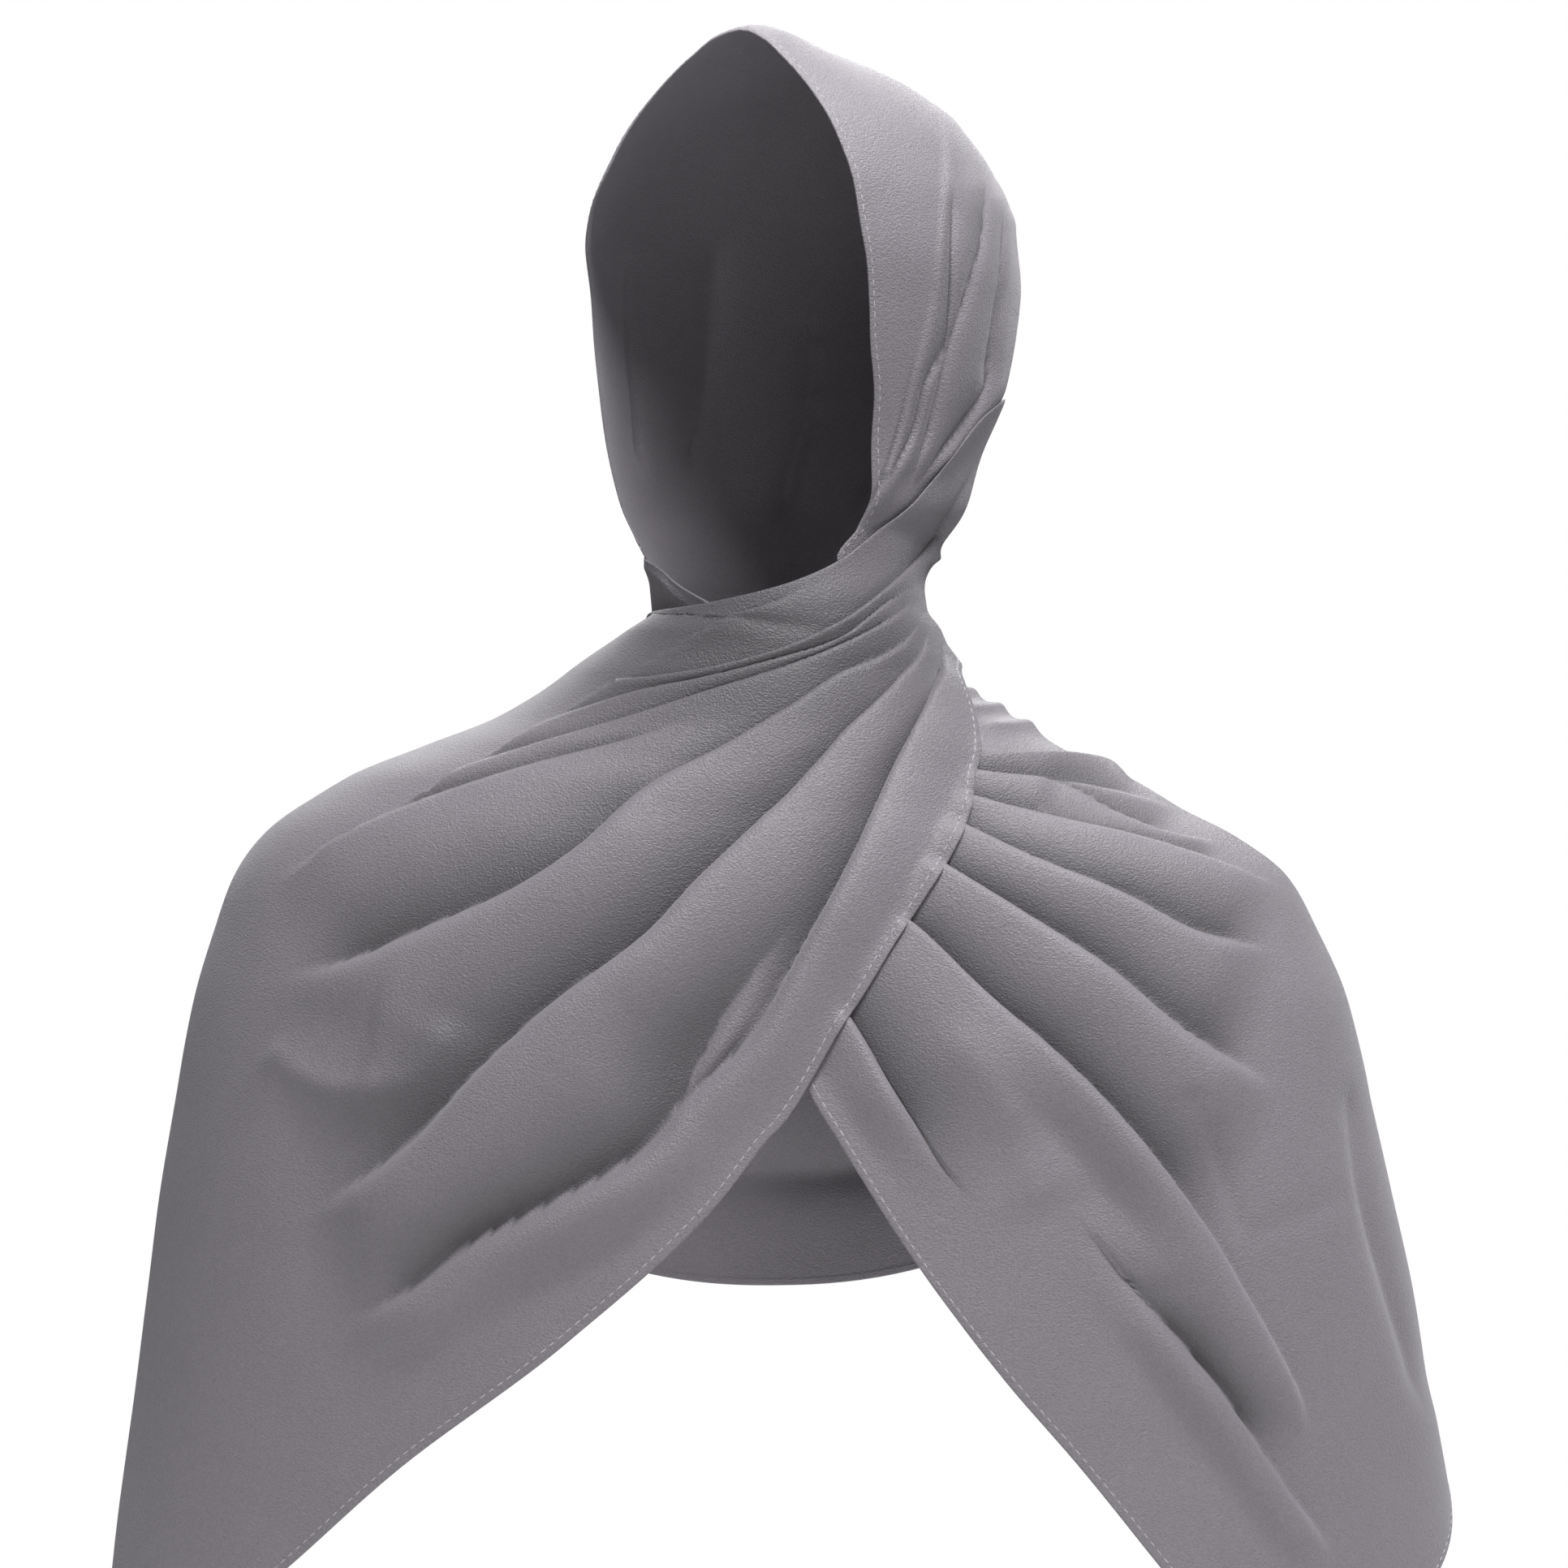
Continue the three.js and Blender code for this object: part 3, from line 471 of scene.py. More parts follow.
def edge_profile(distance, hemmed):
    """Half thickness at a distance from an edge: rounded, and a sewn roll where the edge is hemmed."""
    full = CLOTH / 2 + hemmed * HEM_EXTRA / 2 * (1 - smooth_step(distance, *HEM_STEP))
    sunk = hemmed * STITCH_SINK / 2 * np.exp(-((distance - STITCH_LINE) / STITCH_GROOVE) ** 2)
    rounded = np.sqrt(np.clip(distance / EDGE_ROUND, EDGE_LEAST, 1))
    return (full - sunk) * rounded


def stations_by_length(length, count, hem_start, hem_end):
    """Distances along a line of that length: even, with close rows beside each end."""
    start = np.array(HEM_ROWS if hem_start else PLAIN_ROWS)
    end = length - np.array(HEM_ROWS if hem_end else PLAIN_ROWS)[::-1]
    inner = np.linspace(start[-1], end[0], count - len(start) - len(end) + 2)[1:-1]
    return np.concatenate([start, inner, end])


def cloth_grid(place_at, middle_at, grid, hems):
    """Grid parameters whose rows are even in real length, closer beside the hems.

    hems names the hemmed sides: start and end of the length, first and second long edge."""
    along_count, across_count = grid
    a, c = np.meshgrid(np.linspace(0, 1, ROUGH_ROWS), np.linspace(0, 1, ROUGH_ROWS), indexing="ij")
    rough = middle_at(*place_at(a, c), a, c, folds=False)
    long = np.linalg.norm(np.diff(rough, axis=0), axis=-1).mean(axis=1)
    long = np.concatenate([[0], np.cumsum(long)])
    rows = stations_by_length(long[-1], along_count, "start" in hems, "end" in hems)
    along = np.interp(rows, long, a[:, 0])
    a, c = np.meshgrid(along, np.linspace(0, 1, ROUGH_COLUMNS), indexing="ij")
    rough = middle_at(*place_at(a, c), a, c, folds=False)
    wide = np.linalg.norm(np.diff(rough, axis=1), axis=-1)
    wide = np.concatenate([np.zeros((len(along), 1)), np.cumsum(wide, axis=1)], axis=1)
    across, from_edges = [], []
    for i in range(len(along)):
        length = max(wide[i, -1], LEAST_WIDE)
        columns = stations_by_length(length, across_count, "first" in hems, "second" in hems)
        across.append(np.interp(columns / length * wide[i, -1], wide[i], c[i]))
        from_edges.append((columns, length - columns))
    along = np.repeat(along[:, None], across_count, axis=1)
    first, second = (np.array([pair[k] for pair in from_edges]) for k in range(2))
    start, end = (np.repeat(edge[:, None], across_count, axis=1) for edge in (rows, long[-1] - rows))
    return along, np.array(across), {"start": start, "end": end, "first": first, "second": second}


def grid_normals(points):
    lengthwise = np.gradient(points, axis=0)
    crosswise = np.gradient(points, axis=1)
    return unit(np.cross(crosswise, lengthwise))


def cloth_mesh(name, middle, half_thickness, painted_lap_shade):
    """A closed sheet round a grid of middle points. Its UV map holds the cloth's own lengths in metres, and a
    point attribute holds painted shade: how dark each point is painted in a lap, between folds or under the
    chin."""
    normal = grid_normals(middle)
    outer, inner = (middle + side * normal * half_thickness[..., None] for side in (1, -1))
    rows, columns = middle.shape[:2]
    index = np.arange(rows * columns).reshape(rows, columns)
    under = index + rows * columns

    def quads(a, b, c, d):
        return np.stack([a, b, c, d], axis=-1).reshape(-1, 4)

    faces = np.concatenate([
        quads(index[:-1, :-1], index[:-1, 1:], index[1:, 1:], index[1:, :-1]),
        quads(under[:-1, :-1], under[1:, :-1], under[1:, 1:], under[:-1, 1:]),
        quads(index[:-1, 0], index[1:, 0], under[1:, 0], under[:-1, 0]),
        quads(index[1:, -1], index[:-1, -1], under[:-1, -1], under[1:, -1]),
        quads(index[0, 1:], index[0, :-1], under[0, :-1], under[0, 1:]),
        quads(index[-1, :-1], index[-1, 1:], under[-1, 1:], under[-1, :-1]),
    ])
    lengthwise = np.linalg.norm(np.diff(middle, axis=0), axis=-1)
    crosswise = np.linalg.norm(np.diff(middle, axis=1), axis=-1)
    u = np.concatenate([np.zeros((1, columns)), np.cumsum(lengthwise, axis=0)]) * MM
    v = np.concatenate([np.zeros((rows, 1)), np.cumsum(crosswise, axis=1)], axis=1) * MM
    laid = np.tile(np.stack([u, v], axis=-1).reshape(-1, 2), (2, 1))
    points = np.concatenate([outer.reshape(-1, 3), inner.reshape(-1, 3)]) * MM
    mesh = bpy.data.meshes.new(name)
    mesh.vertices.add(len(points))
    mesh.vertices.foreach_set("co", points.ravel())
    mesh.loops.add(faces.size)
    mesh.loops.foreach_set("vertex_index", faces.ravel().astype(np.int32))
    mesh.polygons.add(len(faces))
    mesh.polygons.foreach_set("loop_start", np.arange(0, faces.size, 4, dtype=np.int32))
    mesh.polygons.foreach_set("loop_total", np.full(len(faces), 4, dtype=np.int32))
    mesh.polygons.foreach_set("use_smooth", np.ones(len(faces), dtype=bool))
    mesh.update(calc_edges=True)
    cloth_map = mesh.uv_layers.new(name="cloth lengths")
    cloth_map.data.foreach_set("uv", laid[faces.ravel()].ravel())
    # Painted shade: how dark each point is painted in laps, between folds and under the chin, which the crepe
    # material mixes into the base colour
    depth = mesh.attributes.new("painted lap shade", "FLOAT", "POINT")
    depth.data.foreach_set("value", np.tile(painted_lap_shade.ravel(), 2).astype(np.float32))
    piece = bpy.data.objects.new(name, mesh)
    bpy.context.scene.collection.objects.link(piece)
    return piece


# A noise in the crepe has its scale (per metre), detail and offset. The two that make the crinkle have shares
CREPE_COLOUR = (0.222, 0.206, 0.229)
RIPPLES, RIPPLE_SHARE = ((1000, 1000, 1400), 1.5, 3.1), 0.7
GRAIN, GRAIN_SHARE = ((2200, 2200, 2200), 1.0, 7.7), 0.3
PATCH_SCALE, PATCH_DETAIL = (26, 26, 26), 2.0
CRINKLE_STRENGTH, CRINKLE_HEIGHT = 0.8, 0.9
# How much the crinkle paints light on the ripples' tops and shade in their pits, and how much the patches of
# uneven dyeing vary the colour
CRINKLE_SHADE, PATCH_SHADE = 0.9, 0.2
# Darkest and lightest levels of the painted ripple shade and uneven dyeing, the colour level of the painted
# shadow in laps, and how far that painted shadow goes
DARKEST, LIGHTEST, LAP_SHADOW_LEVEL = 0.62, 1.38, 0.16
LAP_SHADE = 0.85
CREPE_ROUGHNESS, CREPE_SPECULAR = 0.46, 0.45
SHEEN, SHEEN_ROUGHNESS, SHEEN_TINT = 0.3, 0.45, (0.95, 0.93, 1, 1)


def crepe_material(name, patch_seed):
    """Crinkled crepe: short ripples and a fine grain, with painted light on the ripples' tops and painted
    shade in their pits, a faint unevenness of dyeing, and painted shade deep in a lap.
    """
    material = bpy.data.materials.new(name)
    material.use_nodes = True
    nodes = Nodes(material.node_tree)
    shader = material.node_tree.nodes["Principled BSDF"]
    place = nodes.add("ShaderNodeTexCoord").outputs["Object"]
    lap = Maths(nodes, nodes.add("ShaderNodeAttribute", {"attribute_name": "painted lap shade"}).outputs["Fac"])

    def noise(scale, detail, seed):
        laid = nodes.add("ShaderNodeMapping", Vector=place, Scale=scale, Location=(seed, 2 * seed, 0))
        cloud = nodes.add("ShaderNodeTexNoise", Vector=laid.outputs["Vector"], Scale=1.0, Detail=detail)
        return Maths(nodes, cloud.outputs["Fac"])

    crinkle = noise(*RIPPLES) * RIPPLE_SHARE + noise(*GRAIN) * GRAIN_SHARE
    patches = noise(PATCH_SCALE, PATCH_DETAIL, patch_seed)
    bump = nodes.add("ShaderNodeBump", Height=crinkle, Strength=CRINKLE_STRENGTH,
                     Distance=CRINKLE_HEIGHT * MM)
    nodes.feed(shader.inputs["Normal"], bump.outputs["Normal"])
    # Painted light and shade: the crinkle makes the ripples' tops lighter and their pits darker in the base
    # colour; the patches are uneven dyeing
    shade = (crinkle - 0.5) * CRINKLE_SHADE + (patches - 0.5) * PATCH_SHADE + 0.5
    dark, light, deep = (tuple(channel * level for channel in CREPE_COLOUR) + (1,)
                         for level in (DARKEST, LIGHTEST, LAP_SHADOW_LEVEL))
    ripple_shade_and_dye = nodes.add("ShaderNodeMix", {"data_type": "RGBA", "clamp_factor": True})
    nodes.feed(ripple_shade_and_dye.inputs[0], shade)
    nodes.feed(ripple_shade_and_dye.inputs[6], dark)
    nodes.feed(ripple_shade_and_dye.inputs[7], light)
    # Painted shade: the base colour darkens towards a deep shadow colour where the painted shade attribute is
    # high
    painted_lap_shadow = nodes.add("ShaderNodeMix", {"data_type": "RGBA", "clamp_factor": True})
    nodes.feed(painted_lap_shadow.inputs[0], lap * LAP_SHADE)
    nodes.feed(painted_lap_shadow.inputs[6], ripple_shade_and_dye.outputs[2])
    nodes.feed(painted_lap_shadow.inputs[7], deep)
    nodes.feed(shader.inputs["Base Color"], painted_lap_shadow.outputs[2])
    shader.inputs["Roughness"].default_value = CREPE_ROUGHNESS
    shader.inputs["Specular IOR Level"].default_value = CREPE_SPECULAR
    shader.inputs["Sheen Weight"].default_value = SHEEN
    shader.inputs["Sheen Roughness"].default_value = SHEEN_ROUGHNESS
    shader.inputs["Sheen Tint"].default_value = SHEEN_TINT
    return material


THREAD_COLOUR = (0.46, 0.44, 0.47, 1)
THREAD_ROUGHNESS = 0.5
STITCH_PITCH = 4.2
STITCH_LENGTH = 2.9
THREAD_WIDTH = 0.55
THREAD_HEIGHT = 0.5
STITCH_SIDES, STITCH_RINGS = 8, 6
STITCH_SMALLEST, STITCH_LARGEST = (0.85, 0.85, 0.85), (1.1, 1.15, 1.15)
thread = plain_material("hem thread", THREAD_COLOUR, THREAD_ROUGHNESS)


def running_stitch_tree():
    """Stitches set along a line at an even pitch, each turned to it and a little uneven."""
    tree = bpy.data.node_groups.new("running stitch", "GeometryNodeTree")
    tree.interface.new_socket("Geometry", in_out="INPUT", socket_type="NodeSocketGeometry")
    for size in ("Pitch", "Stitch Length", "Thread Width", "Thread Height"):
        tree.interface.new_socket(size, in_out="INPUT", socket_type="NodeSocketFloat")
    tree.interface.new_socket("Seed", in_out="INPUT", socket_type="NodeSocketInt")
    tree.interface.new_socket("Geometry", in_out="OUTPUT", socket_type="NodeSocketGeometry")
    nodes = Nodes(tree)
    given = nodes.add("NodeGroupInput").outputs
    line = nodes.add("GeometryNodeMeshToCurve", Mesh=given["Geometry"])
    spaced = nodes.add("GeometryNodeResampleCurve", {"mode": "LENGTH"}, Curve=line.outputs[0],
                       Length=given["Pitch"])
    ball = nodes.add("GeometryNodeMeshUVSphere", Segments=STITCH_SIDES, Rings=STITCH_RINGS, Radius=0.5)
    size = nodes.add("ShaderNodeCombineXYZ", X=given["Stitch Length"], Y=given["Thread Width"],
                     Z=given["Thread Height"])
    stitch = nodes.add("GeometryNodeTransform", Geometry=ball.outputs["Mesh"], Scale=size.outputs[0])
    smooth = nodes.add("GeometryNodeSetShadeSmooth", Geometry=stitch.outputs[0])
    tangent = nodes.add("GeometryNodeInputTangent")
    turned = nodes.add("FunctionNodeAlignRotationToVector", {"axis": "X"}, Vector=tangent.outputs[0])
    uneven = nodes.add("FunctionNodeRandomValue", {"data_type": "FLOAT_VECTOR"}, Seed=given["Seed"])
    uneven.inputs["Min"].default_value = STITCH_SMALLEST
    uneven.inputs["Max"].default_value = STITCH_LARGEST
    set_down = nodes.add("GeometryNodeInstanceOnPoints", Points=spaced.outputs[0], Instance=smooth.outputs[0],
                         Rotation=turned.outputs[0], Scale=uneven.outputs[0])
    real = nodes.add("GeometryNodeRealizeInstances", Geometry=set_down.outputs[0])
    coloured = nodes.add("GeometryNodeSetMaterial", Geometry=real.outputs[0], Material=thread)
    nodes.add("NodeGroupOutput", Geometry=coloured.outputs[0])
    return tree


running_stitch = running_stitch_tree()


def sew(name, lines, seed):
    """One mesh of running stitches along the given lines of points (mm)."""
    points = np.concatenate(lines) * MM
    edges, first = [], 0
    for line in lines:
        edges += [(first + k, first + k + 1) for k in range(len(line) - 1)]
        first += len(line)
    path = bpy.data.meshes.new(name + " line")
    path.from_pydata(points.tolist(), edges, [])
    guide = bpy.data.objects.new(name + " line", path)
    bpy.context.scene.collection.objects.link(guide)
    sewing = guide.modifiers.new("running stitch", "NODES")
    sewing.node_group = running_stitch
    sizes = {"Pitch": STITCH_PITCH * MM, "Stitch Length": STITCH_LENGTH * MM,
             "Thread Width": THREAD_WIDTH * MM, "Thread Height": THREAD_HEIGHT * MM, "Seed": seed}
    for item in running_stitch.interface.items_tree:
        if item.name in sizes:
            sewing[item.identifier] = sizes[item.name]
    ready = bpy.context.evaluated_depsgraph_get()
    mesh = bpy.data.meshes.new_from_object(guide.evaluated_get(ready), depsgraph=ready)
    guide.modifiers.remove(sewing)
    bpy.data.objects.remove(guide)
    stitches = bpy.data.objects.new(name, mesh)
    bpy.context.scene.collection.objects.link(stitches)
    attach(stitches, "root")
    return stitches


def stitch_line(outer, from_edge):
    """The points of the outer face that are a stitch line's distance from the first or second long edge."""
    row = HEM_ROWS.index(STITCH_LINE)
    return outer[:, row if from_edge == "first" else -1 - row]


def end_stitch_line(outer):
    """The points of the outer face that are a stitch line's distance from the far short end."""
    row = HEM_ROWS.index(STITCH_LINE)
    return outer[-1 - row, row:-1 - row]


def make_cloth(name, place_at, lift, folds_at, grid, hems, patch_seed):
    """A stretch of the scarf: lift and folds_at give heights over its own layer of the form.

    Away from its rim the thickest side counts, so that a hem's roll runs on into the corners."""

    def middle_at(turn, down, along, across, folds=True):
        base, normal = form_point(turn, down), form_normal(turn, down)
        height = LAYER[name] * LAP_STEP + WALL / 2 + lift(along, across, base)
        laid = base + normal * height[..., None]
        if not folds:
            return laid
        rise, lean, depth = folds_at(turn, laid, normal)
        return laid + normal * rise[..., None] + lean, depth

    along, across, edges = cloth_grid(place_at, middle_at, grid, hems)
    turn, down = place_at(along, across)
    middle, painted_lap_shade = middle_at(turn, down, along, across)
    thickness = np.minimum.reduce([edge_profile(edges[side], side in hems) for side in edges])
    swollen = np.maximum.reduce([edge_profile(edges[side] + CORNER_REACH, side in hems) for side in edges])
    nearest = np.minimum.reduce(list(edges.values()))
    thickness = np.where(nearest > CORNER_RIM, np.minimum(swollen, thickness + HEM_EXTRA), thickness)
    normal = grid_normals(middle)
    outward = np.sign((normal * form_normal(turn, down)).sum())
    outer = middle + outward * normal * thickness[..., None]
    piece = cloth_mesh(name + "_cloth", middle, thickness, painted_lap_shade)
    piece.data.materials.append(crepe_material(name.replace("_", " ") + " crepe", patch_seed))
    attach(piece, "root")
    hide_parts(name)
    return piece, outer


# The hood's own shape: gathers by the viewer's right and left, then the face edge as seen from the front
# (x, z and how far it stands off the head) and down the far cheek (turn, z).
GATHER_RIGHT, GATHER_LEFT = np.array([45.0, -60, -222]), np.array([-54.0, -8, -208])
FACE_EDGE = [
    (20, -207, 0), (28.5, -193, 0), (32.5, -184.4, 0), (34.5, -168, 0), (35.5, -143, 0), (34, -109, 0),
    (31.5, -76, 0.5), (26.5, -49, 2), (14.7, -22.3, 5), (-2, -2.2, 12), (-10, 5, 16), (-19, 8.5, 17),
    (-28, 5.5, 16), (-37, -2, 12),
    (-55.6, -22.3, 5), (-72.4, -52.4, 1.5), (-79, -72.5, 0.5),
]
FAR_CHEEK_EDGE = [(-96, -100), (-95, -130), (-94, -160), (-93, -178), (-92, -193)]
STAND_OFF_DEPTH = 34.0
NAPE_ANGLE = np.radians(196)
HOOD_ENDS = np.radians([9.0, 171.0])
RAY_LENGTH = 250.0
HOOD_FOLDS = [
    fold([(58, -13), (64, -27), (65, -37), (63, -73), (60, -98), (53, -127), (47, -152), (39, -176),
          (28, -195)], (1.5, 3, 3), foot=(5, 1.2), over=(12, 9), lap=(0, 0.8, 2)),
    fold([(69, -51), (68, -91), (67, -115), (58, -132), (52, -155), (47, -165), (38, -180)],
         (1.5, 4.5, 3.5), foot=(4, 1.2), over=(11, 8), lap=(0, 2, 2)),
    fold([(83, -47), (81, -73), (76, -91), (71, -105), (65, -127), (58, -155), (51, -176)],
         (2, 4.5, 4), foot=(6, 1.4), over=(14, 9), lap=(0, 1.5, 2)),
    fold([(90, -57), (89, -88), (86, -116), (83, -133), (72, -150), (53, -176)],
         (1.5, 4.5, 5), foot=(4, 1.4), over=(14, 9), lap=(0, 1.5, 2)),
]
HOOD_CREASES = [
    fold([(98, -65), (95, -88), (90, -104), (86, -120), (81, -136)], (-1, -3, -2), foot=(4, 3), over=(4, 3)),
]
HOOD_HIDDEN_FOLDS = [
    fold([(110, -60), (122, -120), (132, -180)], (3, 5, 5), foot=(7, 4), over=(9, 6), crest=(4, 2)),
    fold([(140, -70), (150, -130), (158, -185)], (2.5, 4.5, 5), foot=(6, 3.5), over=(9, 6), crest=(3, 2)),
    fold([(-150, -60), (-148, -120), (-142, -170)], (3, 5, 5), foot=(7, 4), over=(9, 6), crest=(4, 2)),
    fold([(-118, -70), (-120, -120), (-122, -170)], (2, 4, 4.5), foot=(6, 3), over=(8, 5), crest=(3, 1.5)),
    fold([(180, -90), (182, -140), (184, -190)], (2, 4, 5), foot=(7, 4), over=(9, 6), crest=(4, 2)),
]

heart = (GATHER_RIGHT + GATHER_LEFT) / 2
axis = unit(GATHER_RIGHT - heart)
ahead = unit(np.array([0.0, -1, 0]) + axis * axis[1])
upward = np.cross(axis, ahead)
upward = upward if upward[2] > 0 else -upward
face_points = [form_point(*seen_place(*entry)) for entry in FACE_EDGE]
face_points += [form_point(np.radians(turn), down_at_height(z)) for turn, z in FAR_CHEEK_EDGE]
face_stands = [entry[2] for entry in FACE_EDGE] + [0] * len(FAR_CHEEK_EDGE)
from_heart = np.array(face_points) - heart
edge_sweeps = np.arccos(from_heart @ axis / np.linalg.norm(from_heart, axis=1))
edge_lifts = np.arctan2(from_heart @ upward, from_heart @ ahead)
order = np.argsort(edge_sweeps)
lift_at = smooth_curve(edge_sweeps[order], edge_lifts[order])
stand_at = smooth_curve(edge_sweeps[order], np.array(face_stands)[order])


def hood_angles(along, across):
    sweep = HOOD_ENDS[0] + (HOOD_ENDS[1] - HOOD_ENDS[0]) * along
    return sweep, lift_at(sweep) + (NAPE_ANGLE - lift_at(sweep)) * across


def hood_place(along, across):
    sweep, lift = hood_angles(along, across)
    ray = (axis * np.cos(sweep)[..., None] + ahead * (np.sin(sweep) * np.cos(lift))[..., None]
           + upward * (np.sin(sweep) * np.sin(lift))[..., None])
    near, far = np.zeros(sweep.shape), np.full(sweep.shape, RAY_LENGTH)
    for _ in range(HALVINGS):
        half = (near + far) / 2
        outside = form_place(heart + ray * half[..., None])[2] > 1
        near, far = np.where(outside, near, half), np.where(outside, half, far)
    return form_place(heart + ray * far[..., None])[:2]


def hood_stand_off(along, across, point):
    sweep, lift = hood_angles(along, across)
    behind = (lift - lift_at(sweep)) * np.linalg.norm(point - heart, axis=-1) * np.sin(sweep)
    return stand_at(sweep) * np.exp(-((behind / STAND_OFF_DEPTH) ** 2))


def hood_folds(turn, point, normal):
    height, lean, depth = seen_folds(point, normal, HOOD_FOLDS, HOOD_CREASES, 1)
    return height + hidden_folds(turn, point, HOOD_HIDDEN_FOLDS), lean, depth


hood, hood_outer = make_cloth(
    "hood", hood_place, hood_stand_off, hood_folds, grid=(150, 200), hems=("first",), patch_seed=1.3,
)
hood_stitches = sew("hood_stitches", [stitch_line(hood_outer, "first")], seed=11)


# The back fall: the same middle stretch below the hood, hanging in a cowl over the upper back between the two
# ends that cross there. Its top is tucked in under the hood's nape, and its lower long edge is hemmed.
NECK_TUCK = 2.1
NECK_TUCK_BAND = (-270, -250)
BARE_BACK = ((-560, 20), (-480, 26), (-410, 30), (-340, 36), (-285, 50), (-245, 64))
BARE_FADE = 14.0
# A rung crosses a stretch, from its first long edge through its middle to its second. The rungs follow each
# other along its length, and each place on them is a turn and a height, or is seen from the front.
BACK_RUNGS = [
    ((36, -248), (36, -268), (37, -302)),
    ((84, -234), (84, -268), (86, -310)),
    ((110, -231), (112, -290), (116, -372)),
    ((145, -229), (146, -340), (150, -478)),
    ((180, -228), (180, -360), (181, -520)),
    ((215, -229), (214, -340), (211, -480)),
    ((250, -231), (248, -292), (244, -380)),
    ((272, -234), (272, -272), (271, -318)),
]
BACK_FOLDS = [
    fold([(132, -282), (156, -330), (180, -350), (204, -330), (228, -282)], (5, 8, 5), foot=(6, 6),
         over=(14, 14), crest=(3, 3)),
    fold([(124, -310), (150, -385), (180, -415), (210, -385), (236, -310)], (6, 9, 6), foot=(6, 7),
         over=(16, 16), crest=(3, 3)),
    fold([(128, -370), (152, -440), (180, -472), (208, -440), (232, -370)], (4, 7, 4), foot=(7, 7),
         over=(16, 16), crest=(3, 3)),
    fold([(140, -268), (160, -296), (182, -306), (202, -292), (218, -268)], (2, 4, 2), foot=(6, 6),
         over=(9, 9), crest=(3, 3)),
]
BACK_BUNCH = [
    fold([(52, z), (75, z), (95, z - 1), (118, z - drop)], (2, high, 1), foot=(2, 2), over=(2, 2),
         crest=(1, 1))
    for z, drop, high in ((-263, 3, 4), (-270, 3, 4.5), (-277, 4, 4.5))
]


def turn_of(end):
    """A rung's end: seen from the front as ("seen", x, z), or at a turn and height."""
    if end[0] == "seen":
        return seen_place(*end[1:])
    return np.radians(end[0]), down_at_height(end[1])


def between(top, middle, hem, across):
    """A monotone cubic from a rung's top through its middle fold to its hem."""
    first, second = (middle - top) * 2, (hem - middle) * 2
    together = first * second > 0
    lean = np.where(together, 2 * first * second / np.where(together, first + second, 1), 0)
    lower = across > 0.5
    start, end = np.where(lower, middle, top), np.where(lower, hem, middle)
    leave, arrive = np.where(lower, lean, first), np.where(lower, second, lean)
    u = np.where(lower, across * 2 - 1, across * 2)
    keep = (1 + 2 * u) * (1 - u) ** 2
    return keep * start + (1 - keep) * end + u * (1 - u) ** 2 * leave / 2 + u * u * (u - 1) * arrive / 2


def spread(rungs):
    """Places of a stretch spread between its rungs."""
    edges = []
    for side in range(3):
        turns, downs = np.array([turn_of(rung[side]) for rung in rungs]).T
        edges.append([smooth_curve(np.arange(len(rungs)), column) for column in (np.unwrap(turns), downs)])

    def place_at(along, across):
        at = along * (len(rungs) - 1)
        return tuple(between(*(edges[side][k](at) for side in range(3)), across) for k in range(2))

    return place_at


def back_tuck(along, across, point):
    return -NECK_TUCK * smooth_step(point[..., 2], *NECK_TUCK_BAND)


def back_folds(turn, point, normal):
    heights, half_turns = np.array(BARE_BACK, float).T
    bare_half = smooth_curve(heights, half_turns)(point[..., 2])
    off_centre = np.abs((np.degrees(turn) + 360) % 360 - 180)
    bare = 1 - smooth_step(off_centre, bare_half - BARE_FADE, bare_half)
    swags = hidden_folds(turn, point, BACK_FOLDS, centre=180.0)
    height = hidden_folds(turn, point, BACK_BUNCH) + bare * swags
    return height, 0 * point, 0 * height


back_fall, back_outer = make_cloth(
    "back_fall", spread(BACK_RUNGS), back_tuck, back_folds, grid=(110, 110), hems=("second",), patch_seed=4.9,
)
back_stitches = sew("back_fall_stitches", [stitch_line(back_outer, "second")], seed=12)


# The under stretch: the end that comes from the viewer's left cheek, passes under the chin below the other
# one, and fans out over the viewer's right shoulder. Its pleats open into long ridges down the arm.
COVER_WIDTH = 25.0
COVER_SINK = 1.4
COVER_FADE = 18.0
TOP_TUCK, TOP_TUCK_ACROSS, TOP_TUCK_ALONG = 1.5, (0, 0.14), (0.24, 0.36)
FRONT_ONLY = 20.0
UNDER_RUNGS = [
    ((-166, -229), (-166, -236), (-166, -243)),
    ((-132, -212), (-132, -226), (-132, -248)),
    ((-100, -203), (-98, -219), (-98, -250)),
    ((-70, -210), (-68, -230), (-66, -262)),
    (("seen", -44, -214), ("seen", -42, -245), ("seen", -44, -290)),
    (("seen", -28, -224), ("seen", -26, -262), ("seen", -30, -330)),
    (("seen", -5, -236), ("seen", -2, -282), ("seen", -12, -378)),
    (("seen", 24, -252), ("seen", 22, -310), ("seen", 9, -424)),
    (("seen", 52, -274), ("seen", 52, -338), ("seen", 25, -451)),
    (("seen", 80, -291), ("seen", 88, -358), ("seen", 63, -509)),
    (("seen", 110, -292), ("seen", 138, -386), ("seen", 90, -544)),
    ((112, -305), ("seen", 188, -424), ("seen", 120, -579)),
    ((128, -335), ("seen", 234, -470), ("seen", 155, -622.6)),
    ((140, -390), (91, -520), ("seen", 178, -650)),
    ((149, -450), (104, -560), ("seen", 200, -680)),
]
FRONT_HEM = [
    (74, -262), (81.8, -281), (79, -306), (66, -334.5), (52, -356), (28, -394), (-28, -473), (-89, -529),
    (-156, -580), (-203, -622.6), (-240, -655),
]
